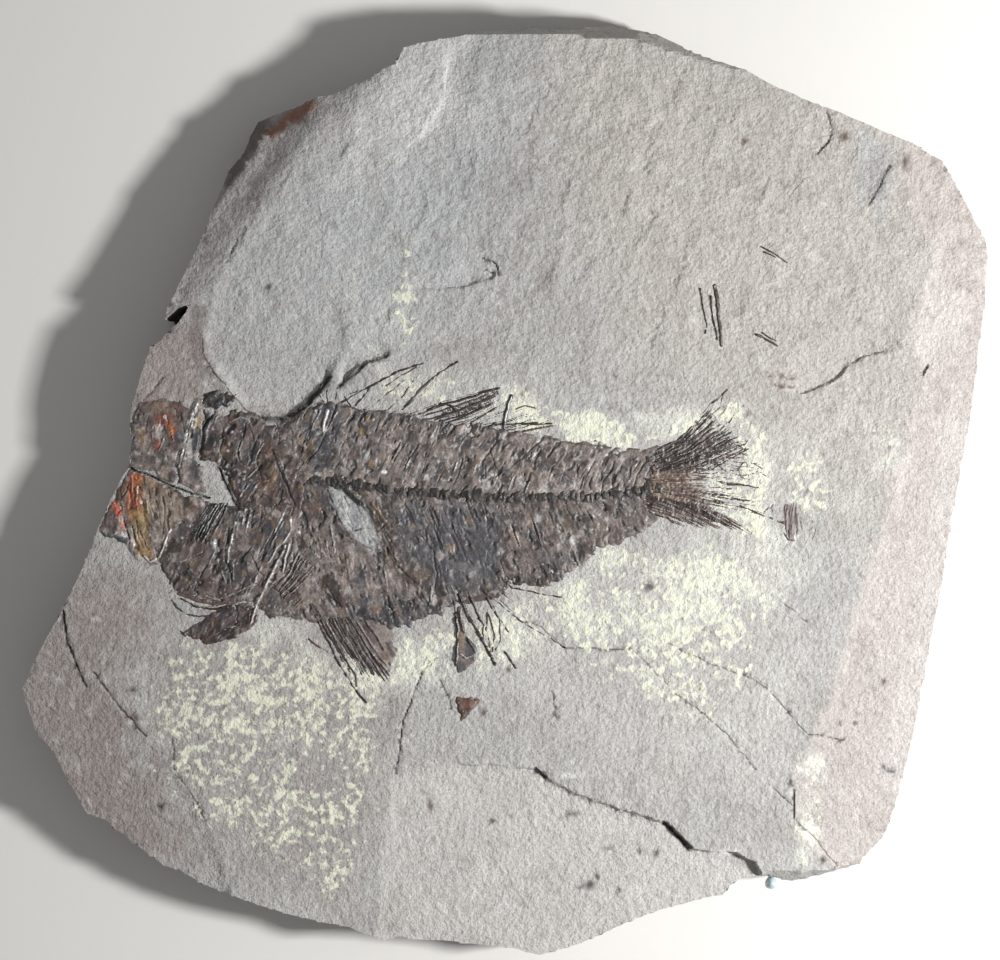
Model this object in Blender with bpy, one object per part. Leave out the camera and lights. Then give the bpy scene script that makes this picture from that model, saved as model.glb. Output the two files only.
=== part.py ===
"""A grey shale slab with a flattened fossil fish on its top face.

The slab lies on its flat underside. X runs to the right, from the fish's snout to its tail, Y runs
towards the fish's back and Z is up. The plan of each piece is drawn in plan units: PLAN_SPAN of them
make the slab's width, with x to the right and y downwards. Heights and depths are in metres.
"""

import math

import bmesh
import bpy
from mathutils import Vector, noise

# Driving dimensions, in metres.
SLAB_WIDTH = 0.1505
SLAB_THICKNESS = 0.011
GAP = 0.0003
PLATE_EDGE = 0.00035
FIN_THICKNESS = 0.00045
STRAY_THICKNESS = 0.0004
SPINE_RISE = 0.0011
SCALE_RELIEF = 0.00007
CUTTER_TOP = SLAB_THICKNESS + 0.03
HEAD_CELL = 10.0
FLANK_CELL = 8.0
SCALE_PITCH = 16.0
VERTEBRAE = 34
MM = 0.001

# The plan: its width, its middle and the size of one plan unit in metres.
PLAN_SPAN = 971.0
PLAN_CENTRE = (505.5, 487.5)
UNIT = SLAB_WIDTH / PLAN_SPAN

# Colours, as sRGB hex.
STONE_COLOUR = "A8A49C"
DARK_COLOUR = "6B4028"
RUST_COLOUR = "9A5A30"
FLANK_COLOUR = "6E5745"
SPINE_COLOUR = "4A3022"
FIN_COLOUR = "5A3E2A"
GLUE_COLOUR = "C9DDE2"

# The slab's outline, clockwise from the top left corner, with the notch in its left side.
SLAB_OUTLINE = (
    (403, 46), (428, 40), (458, 35), (475, 30), (500, 27), (517, 20), (530, 18), (546, 25), (573, 25),
    (593, 19), (613, 17), (629, 21), (659, 27), (676, 37), (692, 46), (712, 55), (740, 66), (778, 87),
    (812, 101), (845, 114), (878, 128), (911, 141), (943, 158), (949, 166), (961, 189), (971, 209),
    (981, 226), (989, 242), (991, 256), (989, 282), (986, 318), (981, 348), (978, 375), (972, 420),
    (963, 470), (951, 540), (944, 583), (936, 626), (928, 673), (921, 706), (911, 756), (900, 799),
    (890, 832), (881, 845), (866, 858), (863, 867), (838, 875), (812, 883), (795, 887), (765, 878),
    (745, 880), (732, 887), (724, 897), (696, 902), (666, 910), (636, 921), (606, 935), (580, 946),
    (556, 953), (540, 957), (526, 954), (509, 949), (484, 947), (459, 944), (441, 942), (420, 942),
    (399, 938), (385, 942), (370, 938), (348, 928), (327, 925), (285, 915), (259, 907), (232, 897),
    (199, 885), (179, 872), (162, 868), (146, 855), (123, 838), (103, 822), (85, 815), (78, 802),
    (63, 776), (53, 756), (33, 731), (30, 722), (25, 706), (20, 689), (25, 682), (31, 666), (43, 643),
    (53, 623), (63, 606), (76, 577), (90, 546), (95, 530), (100, 520), (108, 502), (115, 487),
    (119, 478), (129, 465), (128, 455), (130, 443), (128, 425), (130, 408), (136, 387), (141, 370),
    (149, 346), (158, 340), (169, 331), (178, 321), (184, 312), (188, 306), (178, 309), (165, 321),
    (164, 315), (166, 307), (174, 290), (186, 265), (202, 232), (212, 206), (219, 189), (226, 169),
    (239, 153), (247, 133), (255, 118), (272, 111), (289, 106), (312, 96), (335, 91), (361, 81),
    (381, 68), (395, 61),
)

# The broken side, from the underside up: share of the thickness, inset and unevenness in metres.
SIDE_BANDS = (
    (0.00, 0.00100, 0.00030),
    (0.09, 0.00030, 0.00040),
    (0.30, 0.00005, 0.00035),
    (0.33, 0.00040, 0.00040),
    (0.55, 0.00015, 0.00030),
    (0.58, 0.00000, 0.00000),
    (0.80, 0.00005, 0.00025),
    (1.00, 0.00000, 0.00000),
)
SIDE_WAVE = 0.007
SIDE_WAVE_TURN = 0.06

# Where a sheet of the stone has broken away: the outline of the scar, and three points (x, y, depth in
# mm) of its flat, tilted floor. A floor that comes out at the top face fades into it.
SCARS = {
    "hollow_above_head": (
        ((215, 296), (203, 325), (201, 350), (212, 370), (225, 385), (245, 410), (262, 413), (278, 417),
         (290, 416), (308, 401), (318, 390), (328, 377), (345, 340), (320, 300), (260, 280)),
        ((290, 416, 1.0), (202, 338, 0.35), (320, 310, 0.0)),
    ),
    "hollow_before_dorsal_fin": (
        ((341, 383), (352, 372), (365, 361), (385, 356), (392, 330), (350, 330), (332, 360)),
        ((341, 383, 0.75), (385, 356, 0.6), (350, 338, 0.0)),
    ),
    "lower_head_piece": (
        ((105, 455), (131, 467), (140, 470), (160, 478), (180, 487), (206, 499), (165, 560), (110, 612),
         (60, 600), (70, 530)),
        ((125, 467, 0.75), (208, 500, 0.0), (108, 614, 0.0)),
    ),
    "lower_sheet": (
        ((393, 772), (391, 800), (383, 850), (381, 895), (374, 970), (560, 990), (770, 920), (765, 878),
         (756, 862), (735, 852), (700, 850), (682, 838), (665, 822), (610, 805), (570, 790), (535, 770),
         (500, 764), (455, 763), (420, 767)),
        ((390, 780, 0.2), (690, 845, 1.2), (480, 945, 0.6)),
    ),
    "right_margin_above": (
        ((885, 110), (897, 166), (908, 212), (938, 252), (921, 298), (908, 342), (924, 373), (1010, 390),
         (1010, 180), (960, 110)),
        ((903, 150, 0.0), (918, 373, 0.0), (990, 260, 1.3)),
    ),
    "right_margin_below": (
        ((920, 360), (905, 430), (890, 500), (871, 560), (858, 596), (845, 633), (835, 673), (812, 736),
         (794, 772), (792, 815), (812, 850), (862, 890), (960, 860), (1010, 420), (1010, 360)),
        ((914, 373, 0.0), (800, 760, 0.0), (936, 626, 1.4)),
    ),
    "step_under_tail_side": (
        ((740, 392), (806, 394), (825, 386), (845, 368), (871, 355), (891, 353), (911, 363), (905, 300),
         (850, 285), (770, 320)),
        ((740, 392, 0.0), (845, 368, 0.42), (905, 295, 0.0)),
    ),
    "thin_ledge": (
        ((420, 289), (458, 288), (478, 282), (496, 278), (502, 300), (480, 338), (430, 332)),
        ((420, 289, 0.16), (496, 278, 0.28), (450, 332, 0.0)),
    ),
    "small_flake": (
        ((484, 262), (495, 256), (502, 268), (497, 281), (486, 279)),
        ((484, 262, 0.3), (502, 268, 0.3), (486, 279, 0.35)),
    ),
    "fall_beside_smooth_patch": (
        ((448, 30), (446, 60), (443, 95), (432, 118), (405, 148), (442, 170), (482, 120), (496, 60),
         (490, 20)),
        ((446, 60, 0.32), (405, 148, 0.25), (484, 100, 0.0)),
    ),
    "top_left_margin": (
        ((400, 40), (395, 80), (345, 125), (318, 130), (300, 155), (270, 200), (235, 250), (212, 296),
         (192, 300), (150, 300), (190, 80), (340, 60)),
        ((395, 84, 0.0), (208, 296, 0.0), (240, 145, 2.3)),
    ),
    "top_left_rim": (
        ((335, 70), (305, 118), (262, 137), (228, 190), (214, 222), (190, 210), (210, 90), (320, 70)),
        ((300, 122, 1.2), (226, 194, 1.6), (236, 146, 4.5)),
    ),
    "top_edge_wall": (
        ((468, 31), (475, 33), (560, 34), (640, 40), (664, 50), (664, -10), (468, -10)),
        ((475, 34, 0.1), (640, 42, 0.1), (560, 25, 4.2)),
    ),
    "top_edge_wall_right": (
        ((640, 40), (665, 50), (700, 60), (742, 71), (760, 60), (700, 0), (640, 0)),
        ((640, 42, 0.1), (742, 71, 0.1), (690, 44, 4.2)),
    ),
    "lower_right_wall": (
        ((762, 872), (800, 874), (845, 868), (868, 853), (900, 870), (850, 920), (762, 920)),
        ((768, 872, 0.1), (862, 859, 0.1), (820, 881, 4.6)),
    ),
    "lower_left_margin": (
        ((63, 604), (66, 639), (80, 673), (94, 678), (113, 699), (146, 736), (172, 741), (174, 769),
         (192, 795), (206, 822), (225, 868), (240, 930), (0, 930), (0, 604)),
        ((80, 673, 0.12), (192, 795, 0.12), (60, 775, 0.95)),
    ),
}

# The outlines of the fish's plates.
SKULL = (
    (134, 404), (148, 400), (163, 398), (178, 401), (189, 407), (196, 403), (205, 412), (200, 426),
    (197, 440), (197, 462), (194, 480), (195, 491), (180, 483), (160, 474), (141, 466), (134, 460),
    (133, 440), (132, 420),
)
SKULL_CHIP = ((207, 401), (216, 396), (228, 391), (233, 397), (229, 405), (215, 408))
CRANIUM = (
    (212, 415), (224, 421), (238, 416), (252, 415), (261, 423), (268, 436), (273, 449), (277, 463),
    (282, 476), (289, 489), (293, 500), (284, 505), (262, 505), (242, 506), (237, 494), (231, 481),
    (223, 468), (213, 460), (204, 456), (204, 441), (207, 427),
)
JAWS = (
    (134, 474), (150, 481), (180, 492), (199, 501), (210, 507), (203, 515), (190, 521), (175, 526),
    (164, 534), (159, 547), (156, 557), (150, 560), (141, 554), (129, 543), (116, 536), (105, 532),
    (101, 528), (105, 518), (112, 503), (119, 489), (126, 480),
)
GILL_COVER = (
    (217, 507), (237, 512), (262, 510), (285, 510), (295, 514), (293, 530), (287, 553), (279, 573),
    (268, 588), (259, 596), (240, 597), (215, 595), (192, 593), (181, 583), (173, 569), (163, 560),
    (166, 546), (173, 534), (191, 526), (207, 518),
)
THROAT_RAYS = ((177, 596), (190, 599), (215, 601), (222, 602), (200, 613), (190, 616), (178, 606))
THROAT_PLATE = (
    (184, 634), (203, 618), (226, 607), (262, 602), (259, 615), (252, 627), (234, 639), (205, 640),
)
PECTORAL_FIN = (
    (284, 578), (296, 554), (306, 550), (318, 554), (326, 564), (322, 578), (312, 592), (300, 602),
    (284, 605), (276, 598),
)
UPPER_FLANK = (
    (283, 426), (290, 421), (300, 413), (318, 406), (340, 406), (370, 409), (400, 414), (430, 419),
    (460, 424), (490, 429), (515, 434), (545, 438), (575, 443), (605, 447), (620, 451), (640, 451),
    (650, 449), (654, 460), (656, 474), (600, 483), (500, 485), (400, 478), (345, 470), (296, 469),
    (291, 470), (286, 461), (282, 448), (279, 436),
)
LOWER_FLANK = (
    (302, 493), (345, 494), (400, 502), (500, 509), (600, 507), (658, 500), (658, 517), (650, 524),
    (638, 532), (620, 539), (603, 544), (590, 554), (575, 569), (560, 577), (540, 582), (515, 584),
    (500, 591), (480, 593), (460, 597), (445, 609), (430, 617), (410, 624), (390, 624), (372, 620),
    (350, 619), (325, 621), (305, 618), (288, 614), (288, 609), (302, 606), (316, 595), (327, 580),
    (331, 562), (320, 549), (307, 545), (304, 530), (305, 512), (301, 500),
)

# The backbone's line, how much it thins towards the tail, its arched section as shares of the half width
# and the rise, and each vertebra as (place along it, half width, share of the rise).
SPINE_LINE = ((300, 480), (345, 482), (400, 490), (500, 497), (600, 495), (660, 487))
SPINE_TAPER = 0.35
SPINE_ARCH = ((-1.0, 0.0), (-1.0, 0.4), (-0.45, 0.92), (0.45, 0.92), (1.0, 0.4), (1.0, 0.0))
VERTEBRA = ((0.06, 5.6, 0.7), (0.5, 7.6, 1.0), (0.94, 5.6, 0.7))

# The fins, each with its rays' tips and the gaps between them.
DORSAL_FIN = (
    (343, 402), (352, 395), (366, 387), (369, 390), (364, 397), (382, 388), (411, 368), (425, 363),
    (427, 367), (403, 390), (418, 393), (440, 378), (460, 363), (463, 366), (446, 382), (424, 401),
    (452, 398), (498, 386), (500, 390), (462, 405), (482, 404), (508, 398), (510, 402), (480, 413),
    (520, 415), (522, 419), (496, 423), (545, 425), (546, 429), (514, 431), (490, 426), (460, 421),
    (430, 416), (400, 411), (370, 406), (345, 403),
)
TAIL_FIN = (
    (662, 456), (669, 443), (690, 432), (705, 425), (703, 410), (712, 402), (725, 393), (730, 400),
    (740, 410), (742, 425), (738, 440), (735, 452), (715, 458), (700, 465), (712, 475), (708, 482),
    (695, 485), (712, 490), (735, 498), (720, 503), (735, 512), (742, 532), (720, 527), (700, 518),
    (680, 516), (664, 519), (667, 500), (669, 487), (666, 470),
)
PELVIC_FIN = (
    (314, 624), (330, 650), (345, 676), (360, 701), (364, 699), (352, 668), (357, 677), (361, 674),
    (352, 652), (377, 681), (380, 679), (365, 654), (384, 681), (388, 679), (367, 645), (346, 624),
)
ANAL_FIN = (
    (451, 610), (456, 640), (455, 662), (460, 671), (472, 670), (476, 655), (470, 632), (470, 622),
    (479, 642), (494, 665), (498, 661), (486, 636), (482, 624), (489, 636), (500, 657), (503, 653),
    (492, 626), (487, 612), (504, 634), (508, 631), (497, 608), (520, 624), (559, 648), (562, 645),
    (523, 619), (499, 596), (482, 598), (463, 602),
)
TAIL_SCRAP = ((776, 500), (786, 506), (799, 522), (808, 542), (815, 562), (808, 565), (794, 540), (781, 516))
BONE_SCRAP = ((453, 693), (480, 698), (472, 712), (458, 722))
STRAY_RAYS = {
    "stray_ray_1": ((700, 290), (704, 308), (707, 326)),
    "stray_ray_2": ((714, 287), (719, 315), (722, 345)),
    "stray_ray_3": ((757, 335), (766, 339), (777, 345)),
    "stray_ray_4": ((762, 248), (774, 254), (787, 262)),
}
STRAY_WIDTH = 3.0

# The bead of clear glue in the broken lower edge.
GLUE_BEAD = ((767, 879), (779, 884), (777, 892), (771, 889))
GLUE_LOW = 0.006
GLUE_HIGH = 0.0095

# Ridges of bone on the plates: a line, the half width and the rise in mm.
SKULL_RIDGES = (
    (((140, 412), (165, 408), (192, 412)), 5.0, 0.45),
    (((140, 432), (168, 428), (190, 440), (192, 470)), 5.0, 0.5),
    (((142, 455), (165, 452), (182, 468)), 5.0, 0.4),
)
CRANIUM_RIDGES = (
    (((215, 425), (238, 428), (258, 440), (270, 470), (282, 495)), 5.0, 0.5),
    (((212, 446), (232, 452), (248, 470), (256, 496)), 5.0, 0.4),
)
JAW_RIDGES = (
    (((138, 482), (170, 497), (200, 508)), 5.0, 0.45),
    (((118, 505), (145, 520), (160, 528)), 6.0, 0.5),
    (((108, 526), (130, 534), (150, 548)), 5.0, 0.4),
)
GILL_RIDGES = (
    (((246, 514), (236, 545), (214, 575), (190, 586)), 5.0, 0.5),
    (((288, 518), (272, 560), (256, 588)), 4.0, 0.5),
    (((222, 512), (200, 532), (176, 552)), 4.0, 0.35),
)

# The head's plates: outline, rise of the dome in metres, how far in from the edge it is full, and ridges.
DARK_PLATES = {
    "skull": (SKULL, 0.0004, 14.0, SKULL_RIDGES),
    "skull_chip": (SKULL_CHIP, 0.0003, 6.0, ()),
    "cranium": (CRANIUM, 0.0005, 14.0, CRANIUM_RIDGES),
    "throat_plate": (THROAT_PLATE, 0.0003, 10.0, ()),
}
RUST_PLATES = {
    "jaws": (JAWS, 0.0003, 12.0, JAW_RIDGES),
    "gill_cover": (GILL_COVER, 0.0006, 18.0, GILL_RIDGES),
    "throat_rays": (THROAT_RAYS, 0.0002, 6.0, ()),
}

# The slanting bones on the flanks: how many, the first one's foot and tip, the step to the next one's, and
# their half width and rise in mm.
NEURAL_SPINES = (14, (320, 472), (340, 424), (22, 0.3), (22, 1.6))
RIBS = (15, (330, 504), (352, 590), (22, 0.0), (20, -3.6))
SLANT_HALF = 3.0
SLANT_RISE = 0.22
UPPER_DOME = (0.0003, 16.0)
LOWER_DOME = (0.0004, 24.0)


def plan_point(x, y, height=0.0):
    """A point of the plan, at a height in metres."""
    return Vector(((x - PLAN_CENTRE[0]) * UNIT, (PLAN_CENTRE[1] - y) * UNIT, height))


def inside(outline, x, y):
    """True where a point of the plan lies in an outline."""
    crossings = 0
    for (ax, ay), (bx, by) in zip(outline, outline[1:] + outline[:1]):
        if (ay > y) != (by > y) and x < ax + (y - ay) * (bx - ax) / (by - ay):
            crossings += 1
    return crossings % 2 == 1


def floor_depth(slope, x, y):
    """The depth in metres of a scar's floor under a point of the plan."""
    first, second, third = (Vector(point) for point in slope)
    normal = (second - first).cross(third - first)
    return (first.z - (normal.x * (x - first.x) + normal.y * (y - first.y)) / normal.z) * MM


def stone_height(x, y):
    """The height of the slab's top face at a point of the plan."""
    depths = [floor_depth(slope, x, y) for outline, slope in SCARS.values() if inside(outline, x, y)]
    return SLAB_THICKNESS - max(depths + [0.0])


def line_distance(line, x, y):
    """How far a point of the plan lies from a line, in plan units."""
    point = Vector((x, y))
    nearest = math.inf
    for start, end in zip(line, line[1:]):
        a = Vector(start)
        along = Vector(end) - a
        share = max(0.0, min(1.0, (point - a).dot(along) / along.length_squared))
        nearest = min(nearest, (a + along * share - point).length)
    return nearest


def dome(outline, rise, reach):
    """A rise in metres that is nought on the outline and full from the reach inwards."""
    loop = outline + outline[:1]

    def height(x, y):
        share = min(1.0, line_distance(loop, x, y) / reach)
        return rise * share * (2.0 - share)

    return height


def ridges(lines):
    """The rise in metres of the highest of some ridges of bone."""

    def height(x, y):
        rises = [
            tall * MM * max(0.0, 1.0 - (line_distance(line, x, y) / (2.0 * half)) ** 2)
            for line, half, tall in lines
        ]
        return max(rises, default=0.0)

    return height


def slanting_ridges(count, foot, tip, foot_step, tip_step):
    """The ridges of a row of slanting bones."""
    lines = []
    for place in range(count):
        low = (foot[0] + place * foot_step[0], foot[1] + place * foot_step[1])
        high = (tip[0] + place * tip_step[0], tip[1] + place * tip_step[1])
        lines.append(((low, high), SLANT_HALF, SLANT_RISE))
    return ridges(lines)


def scales(x, y):
    """The low relief of overlapping scales, in slanting rows."""
    along = (x + 0.5 * y) * 2.0 * math.pi / SCALE_PITCH
    across = (y - 0.4 * x) * 2.0 * math.pi / SCALE_PITCH
    return SCALE_RELIEF * math.cos(along) * math.cos(across)


def linear(hex_colour):
    """The linear colour of an sRGB hex value."""
    channels = [int(hex_colour[place:place + 2], 16) / 255 for place in (0, 2, 4)]
    return [((value + 0.055) / 1.055) ** 2.4 for value in channels] + [1.0]


def material(name, hex_colour, roughness):
    """A material with a colour and a roughness."""
    made = bpy.data.materials.new(name)
    made.use_nodes = True
    shader = made.node_tree.nodes["Principled BSDF"]
    shader.inputs["Base Color"].default_value = linear(hex_colour)
    shader.inputs["Roughness"].default_value = roughness
    shader.inputs["Metallic"].default_value = 0.0
    return made


def piece(name, bm, finish):
    """An object made from a bmesh, with its faces turned outwards."""
    bmesh.ops.recalc_face_normals(bm, faces=bm.faces)
    mesh = bpy.data.meshes.new(name)
    bm.to_mesh(mesh)
    bm.free()
    made = bpy.data.objects.new(name, mesh)
    bpy.context.scene.collection.objects.link(made)
    if finish:
        mesh.materials.append(finish)
    return made


def extruded(bm, face, places):
    """Extrudes a face and moves its corners to the places, in their order."""
    made = bmesh.ops.extrude_face_region(bm, geom=[face] + face.edges[:] + face.verts[:])["geom"]
    lifted = next(item for item in made if isinstance(item, bmesh.types.BMFace))
    for corner, place in zip(lifted.verts, places):
        corner.co = place
    return lifted


def loft(sections):
    """A closed solid through sections with the same number of corners."""
    bm = bmesh.new()
    face = bm.faces.new([bm.verts.new(place) for place in sections[0]])
    for section in sections[1:]:
        face = extruded(bm, face, section)
    return bm


def prism(outline, low, high):
    """A closed solid over an outline, between two heights that are functions of the plan."""
    return loft([[plan_point(x, y, height(x, y)) for x, y in outline] for height in (low, high)])


def side_ring(share, inset, unevenness):
    """The slab's outline at a share of its thickness, moved inwards by the inset and the unevenness."""
    corners = [plan_point(x, y) for x, y in SLAB_OUTLINE]
    ring = []
    for count, corner in enumerate(corners):
        along = (corners[(count + 1) % len(corners)] - corners[count - 1]).normalized()
        inwards = Vector((along.y, -along.x, 0.0))
        wave = 0.5 + 0.5 * noise.noise(Vector((corner.x, corner.y, share * SIDE_WAVE_TURN)) / SIDE_WAVE)
        corner.z = share * SLAB_THICKNESS
        ring.append(corner + inwards * (inset + unevenness * wave))
    return ring


def cut_away(body, name, outline, slope):
    """Takes a broken sheet off the slab's top with a hidden cutter."""
    cutter = piece(
        name,
        prism(outline, lambda x, y: SLAB_THICKNESS - floor_depth(slope, x, y), lambda x, y: CUTTER_TOP),
        None,
    )
    cutter.hide_render = True
    cutter.display_type = "WIRE"
    cut = body.modifiers.new(name, "BOOLEAN")
    cut.operation = "DIFFERENCE"
    cut.solver = "EXACT"
    cut.object = cutter


def make_slab(stone):
    """The slab: a broken side in bands, and a top face with scars where sheets came away."""
    slab = piece("slab", loft([side_ring(*band) for band in SIDE_BANDS]), stone)
    for name, (outline, slope) in SCARS.items():
        cut_away(slab, name, outline, slope)


def sliced(bm, outline, cell):
    """Slices the flat faces of a bmesh into cells along both axes of the plan."""
    for axis, values in enumerate(zip(*outline)):
        middle = PLAN_CENTRE[axis]
        first = math.ceil((min(values) - middle) / cell)
        last = math.floor((max(values) - middle) / cell)
        for step in range(first, last + 1):
            at = [middle, middle]
            at[0], at[1] = PLAN_CENTRE
            at[axis] += step * cell
            normal = (1.0, 0.0, 0.0) if axis == 0 else (0.0, 1.0, 0.0)
            bmesh.ops.bisect_plane(
                bm, geom=bm.verts[:] + bm.edges[:] + bm.faces[:], plane_co=plan_point(*at), plane_no=normal
            )


def plate(name, outline, cell, rises, finish, level_floor=True):
    """A thin plate on the stone: an outline in cells, raised at each corner by the sum of the rises.

    Its floor is flat, or follows the stone's own height.
    """
    bm = bmesh.new()
    bm.faces.new([bm.verts.new(plan_point(x, y)) for x, y in outline])
    sliced(bm, outline, cell)
    under = bm.faces[:]
    lifted = bmesh.ops.extrude_face_region(bm, geom=under)["geom"]
    raised = {item for item in lifted if isinstance(item, bmesh.types.BMVert)}
    for vert in bm.verts:
        x = vert.co.x / UNIT + PLAN_CENTRE[0]
        y = PLAN_CENTRE[1] - vert.co.y / UNIT
        vert.co.z = (SLAB_THICKNESS if level_floor else stone_height(x, y)) + GAP
        if vert in raised:
            vert.co.z += PLATE_EDGE + max(0.0, sum(rise(x, y) for rise in rises))
    if level_floor:
        bmesh.ops.dissolve_faces(bm, faces=under)
    return piece(name, bm, finish)


def make_head(dark_bone, rust_bone):
    """The head's plates: skull, roof chip, cranium, jaws, gill cover and throat."""
    for plates, bone in ((DARK_PLATES, dark_bone), (RUST_PLATES, rust_bone)):
        for name, (outline, rise, reach, lines) in plates.items():
            level = name != "jaws"
            plate(name, outline, HEAD_CELL, [dome(outline, rise, reach), ridges(lines)], bone, level)


def make_flanks(skin):
    """The scaled flanks above and below the backbone, with the spines and ribs in low relief."""
    upper = [dome(UPPER_FLANK, *UPPER_DOME), slanting_ridges(*NEURAL_SPINES), scales]
    lower = [dome(LOWER_FLANK, *LOWER_DOME), slanting_ridges(*RIBS), scales]
    plate("upper_flank", UPPER_FLANK, FLANK_CELL, upper, skin)
    plate("lower_flank", LOWER_FLANK, FLANK_CELL, lower, skin)


def spine_point(share):
    """The point and the direction of the backbone's line at a share of its length from head to tail."""
    x = SPINE_LINE[0][0] + share * (SPINE_LINE[-1][0] - SPINE_LINE[0][0])
    for (ax, ay), (bx, by) in zip(SPINE_LINE, SPINE_LINE[1:]):
        if x <= bx:
            return Vector((x, ay + (by - ay) * (x - ax) / (bx - ax))), Vector((bx - ax, by - ay)).normalized()
    raise ValueError("the share lies past the tail")


def spine_section(share, half_width, rise):
    """A section across the backbone: a low arch on a flat foot."""
    middle, along = spine_point(share)
    across = Vector((-along.y, along.x))
    foot = SLAB_THICKNESS + GAP
    return [plan_point(*(middle + across * half_width * side), foot + rise * up) for side, up in SPINE_ARCH]


def make_backbone(bone):
    """The backbone: vertebrae that swell in the middle and narrow at their joints."""
    sections = []
    for count in range(VERTEBRAE):
        taper = 1.0 - SPINE_TAPER * count / VERTEBRAE
        for place, half_width, rise in VERTEBRA:
            share = (count + place) / VERTEBRAE
            sections.append(spine_section(share, half_width * taper, SPINE_RISE * rise * taper))
    piece("backbone", loft(sections), bone)


def thin_piece(name, outline, thickness, finish):
    """A flat piece of even thickness on the stone."""
    floor = SLAB_THICKNESS + GAP
    return piece(name, prism(outline, lambda x, y: floor, lambda x, y: floor + thickness), finish)


def make_fins(bone):
    """The fins, each a fan of rays grown together at the base."""
    thin_piece("dorsal_fin", DORSAL_FIN, FIN_THICKNESS, bone)
    thin_piece("pectoral_fin", PECTORAL_FIN, FIN_THICKNESS, bone)
    thin_piece("pelvic_fin", PELVIC_FIN, FIN_THICKNESS, bone)
    thin_piece("anal_fin", ANAL_FIN, FIN_THICKNESS, bone)
    thin_piece("tail_fin", TAIL_FIN, FIN_THICKNESS, bone)


def make_strays(bone):
    """The bones that lie loose from the fish."""
    thin_piece("tail_scrap", TAIL_SCRAP, STRAY_THICKNESS, bone)
    thin_piece("bone_scrap", BONE_SCRAP, STRAY_THICKNESS, bone)
    for name, line in STRAY_RAYS.items():
        (ax, ay), (bx, by), (cx, cy) = line
        side = Vector((ay - cy, cx - ax)).normalized() * STRAY_WIDTH / 2
        outline = (
            (ax, ay), (bx + side.x, by + side.y), (cx, cy), (bx - side.x, by - side.y),
        )
        thin_piece(name, outline, STRAY_THICKNESS, bone)


def make_glue(clear):
    """The bead of glue that hangs in the broken lower edge."""
    piece("glue_bead", prism(GLUE_BEAD, lambda x, y: GLUE_LOW, lambda x, y: GLUE_HIGH), clear)


def clear_scene():
    """Removes whatever the scene holds."""
    for item in list(bpy.data.objects):
        bpy.data.objects.remove(item, do_unlink=True)


def main():
    """Builds the slab and every piece on it."""
    clear_scene()
    stone = material("shale", STONE_COLOUR, 0.85)
    dark_bone = material("dark_bone", DARK_COLOUR, 0.4)
    rust_bone = material("rust_bone", RUST_COLOUR, 0.45)
    skin = material("scaled_skin", FLANK_COLOUR, 0.6)
    spine_bone = material("spine_bone", SPINE_COLOUR, 0.5)
    fin_bone = material("fin_bone", FIN_COLOUR, 0.55)
    clear = material("clear_glue", GLUE_COLOUR, 0.2)
    make_slab(stone)
    make_head(dark_bone, rust_bone)
    make_flanks(skin)
    make_backbone(spine_bone)
    make_fins(fin_bone)
    make_strays(fin_bone)
    make_glue(clear)


main()
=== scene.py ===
"""Dresses the fossil fish slab: split grey shale, and the bones, skin and fins of the fish in it.

Plans are drawn in plan units, x to the right and y downwards, and PLAN_SPAN of them make the slab's
width. Rises are in millimetres above the stone's own face. Everything else is in metres.
"""

import functools
import math

import bmesh
import bpy
import numpy as np
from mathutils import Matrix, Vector
from mathutils.bvhtree import BVHTree


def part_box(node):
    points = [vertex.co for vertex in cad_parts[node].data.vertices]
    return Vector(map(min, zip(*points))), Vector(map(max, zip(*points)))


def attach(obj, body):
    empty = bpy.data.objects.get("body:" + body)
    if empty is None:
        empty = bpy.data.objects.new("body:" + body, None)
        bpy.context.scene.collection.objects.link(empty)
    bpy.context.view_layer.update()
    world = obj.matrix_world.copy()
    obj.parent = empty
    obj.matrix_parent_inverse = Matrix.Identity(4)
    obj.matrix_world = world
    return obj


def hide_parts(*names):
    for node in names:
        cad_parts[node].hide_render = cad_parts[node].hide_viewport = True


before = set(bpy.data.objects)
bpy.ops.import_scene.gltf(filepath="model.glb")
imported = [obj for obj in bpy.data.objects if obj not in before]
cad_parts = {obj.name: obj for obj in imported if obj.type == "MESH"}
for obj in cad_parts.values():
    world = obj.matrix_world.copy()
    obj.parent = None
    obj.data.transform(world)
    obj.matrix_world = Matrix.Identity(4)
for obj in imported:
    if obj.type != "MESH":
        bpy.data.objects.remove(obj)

bl_info = {
    "name": "Fossil Fish Slab",
    "version": (1, 0, 0),
    "blender": (4, 5, 0),
    "location": "View3D > Sidebar > Fossil",
    "description": "Makes a slab of shale with a flattened fossil fish",
    "category": "Object",
}

# The plan, and the slab's box in the frame.
PLAN_SPAN = 971.0
PLAN_CENTRE = (505.5, 487.5)
SLAB_LOW, SLAB_HIGH = (Vector(corner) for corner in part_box("slab"))
UNIT = (SLAB_HIGH.x - SLAB_LOW.x) / PLAN_SPAN
MM = 0.001
PHOTO_SIZE = (1000, 960)

# Values below this are taken as nothing.
TINY = 1e-6

# Sheets of fossil: how far they run on under the stone's face in plan units, how deep they are there in
# mm, how far down their floor is, and how far below the slab's top the stone still counts as its face.
SHEET_MARGIN = 3.0
SHEET_SINK = 0.12
SHEET_FLOOR = 0.0005
RIM_DROP = 0.0015

# Cells of the noise before it repeats, and where the noise textures mostly lie.
LATTICE = 256
NOISE_LOW, NOISE_HIGH = 0.3, 0.7


def linear(hex_colour):
    """The linear colour of an sRGB hex value."""
    channels = [int(hex_colour[place:place + 2], 16) / 255 for place in (0, 2, 4)]
    return tuple(
        value / 12.92 if value <= 0.04045 else ((value + 0.055) / 1.055) ** 2.4 for value in channels
    )


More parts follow.
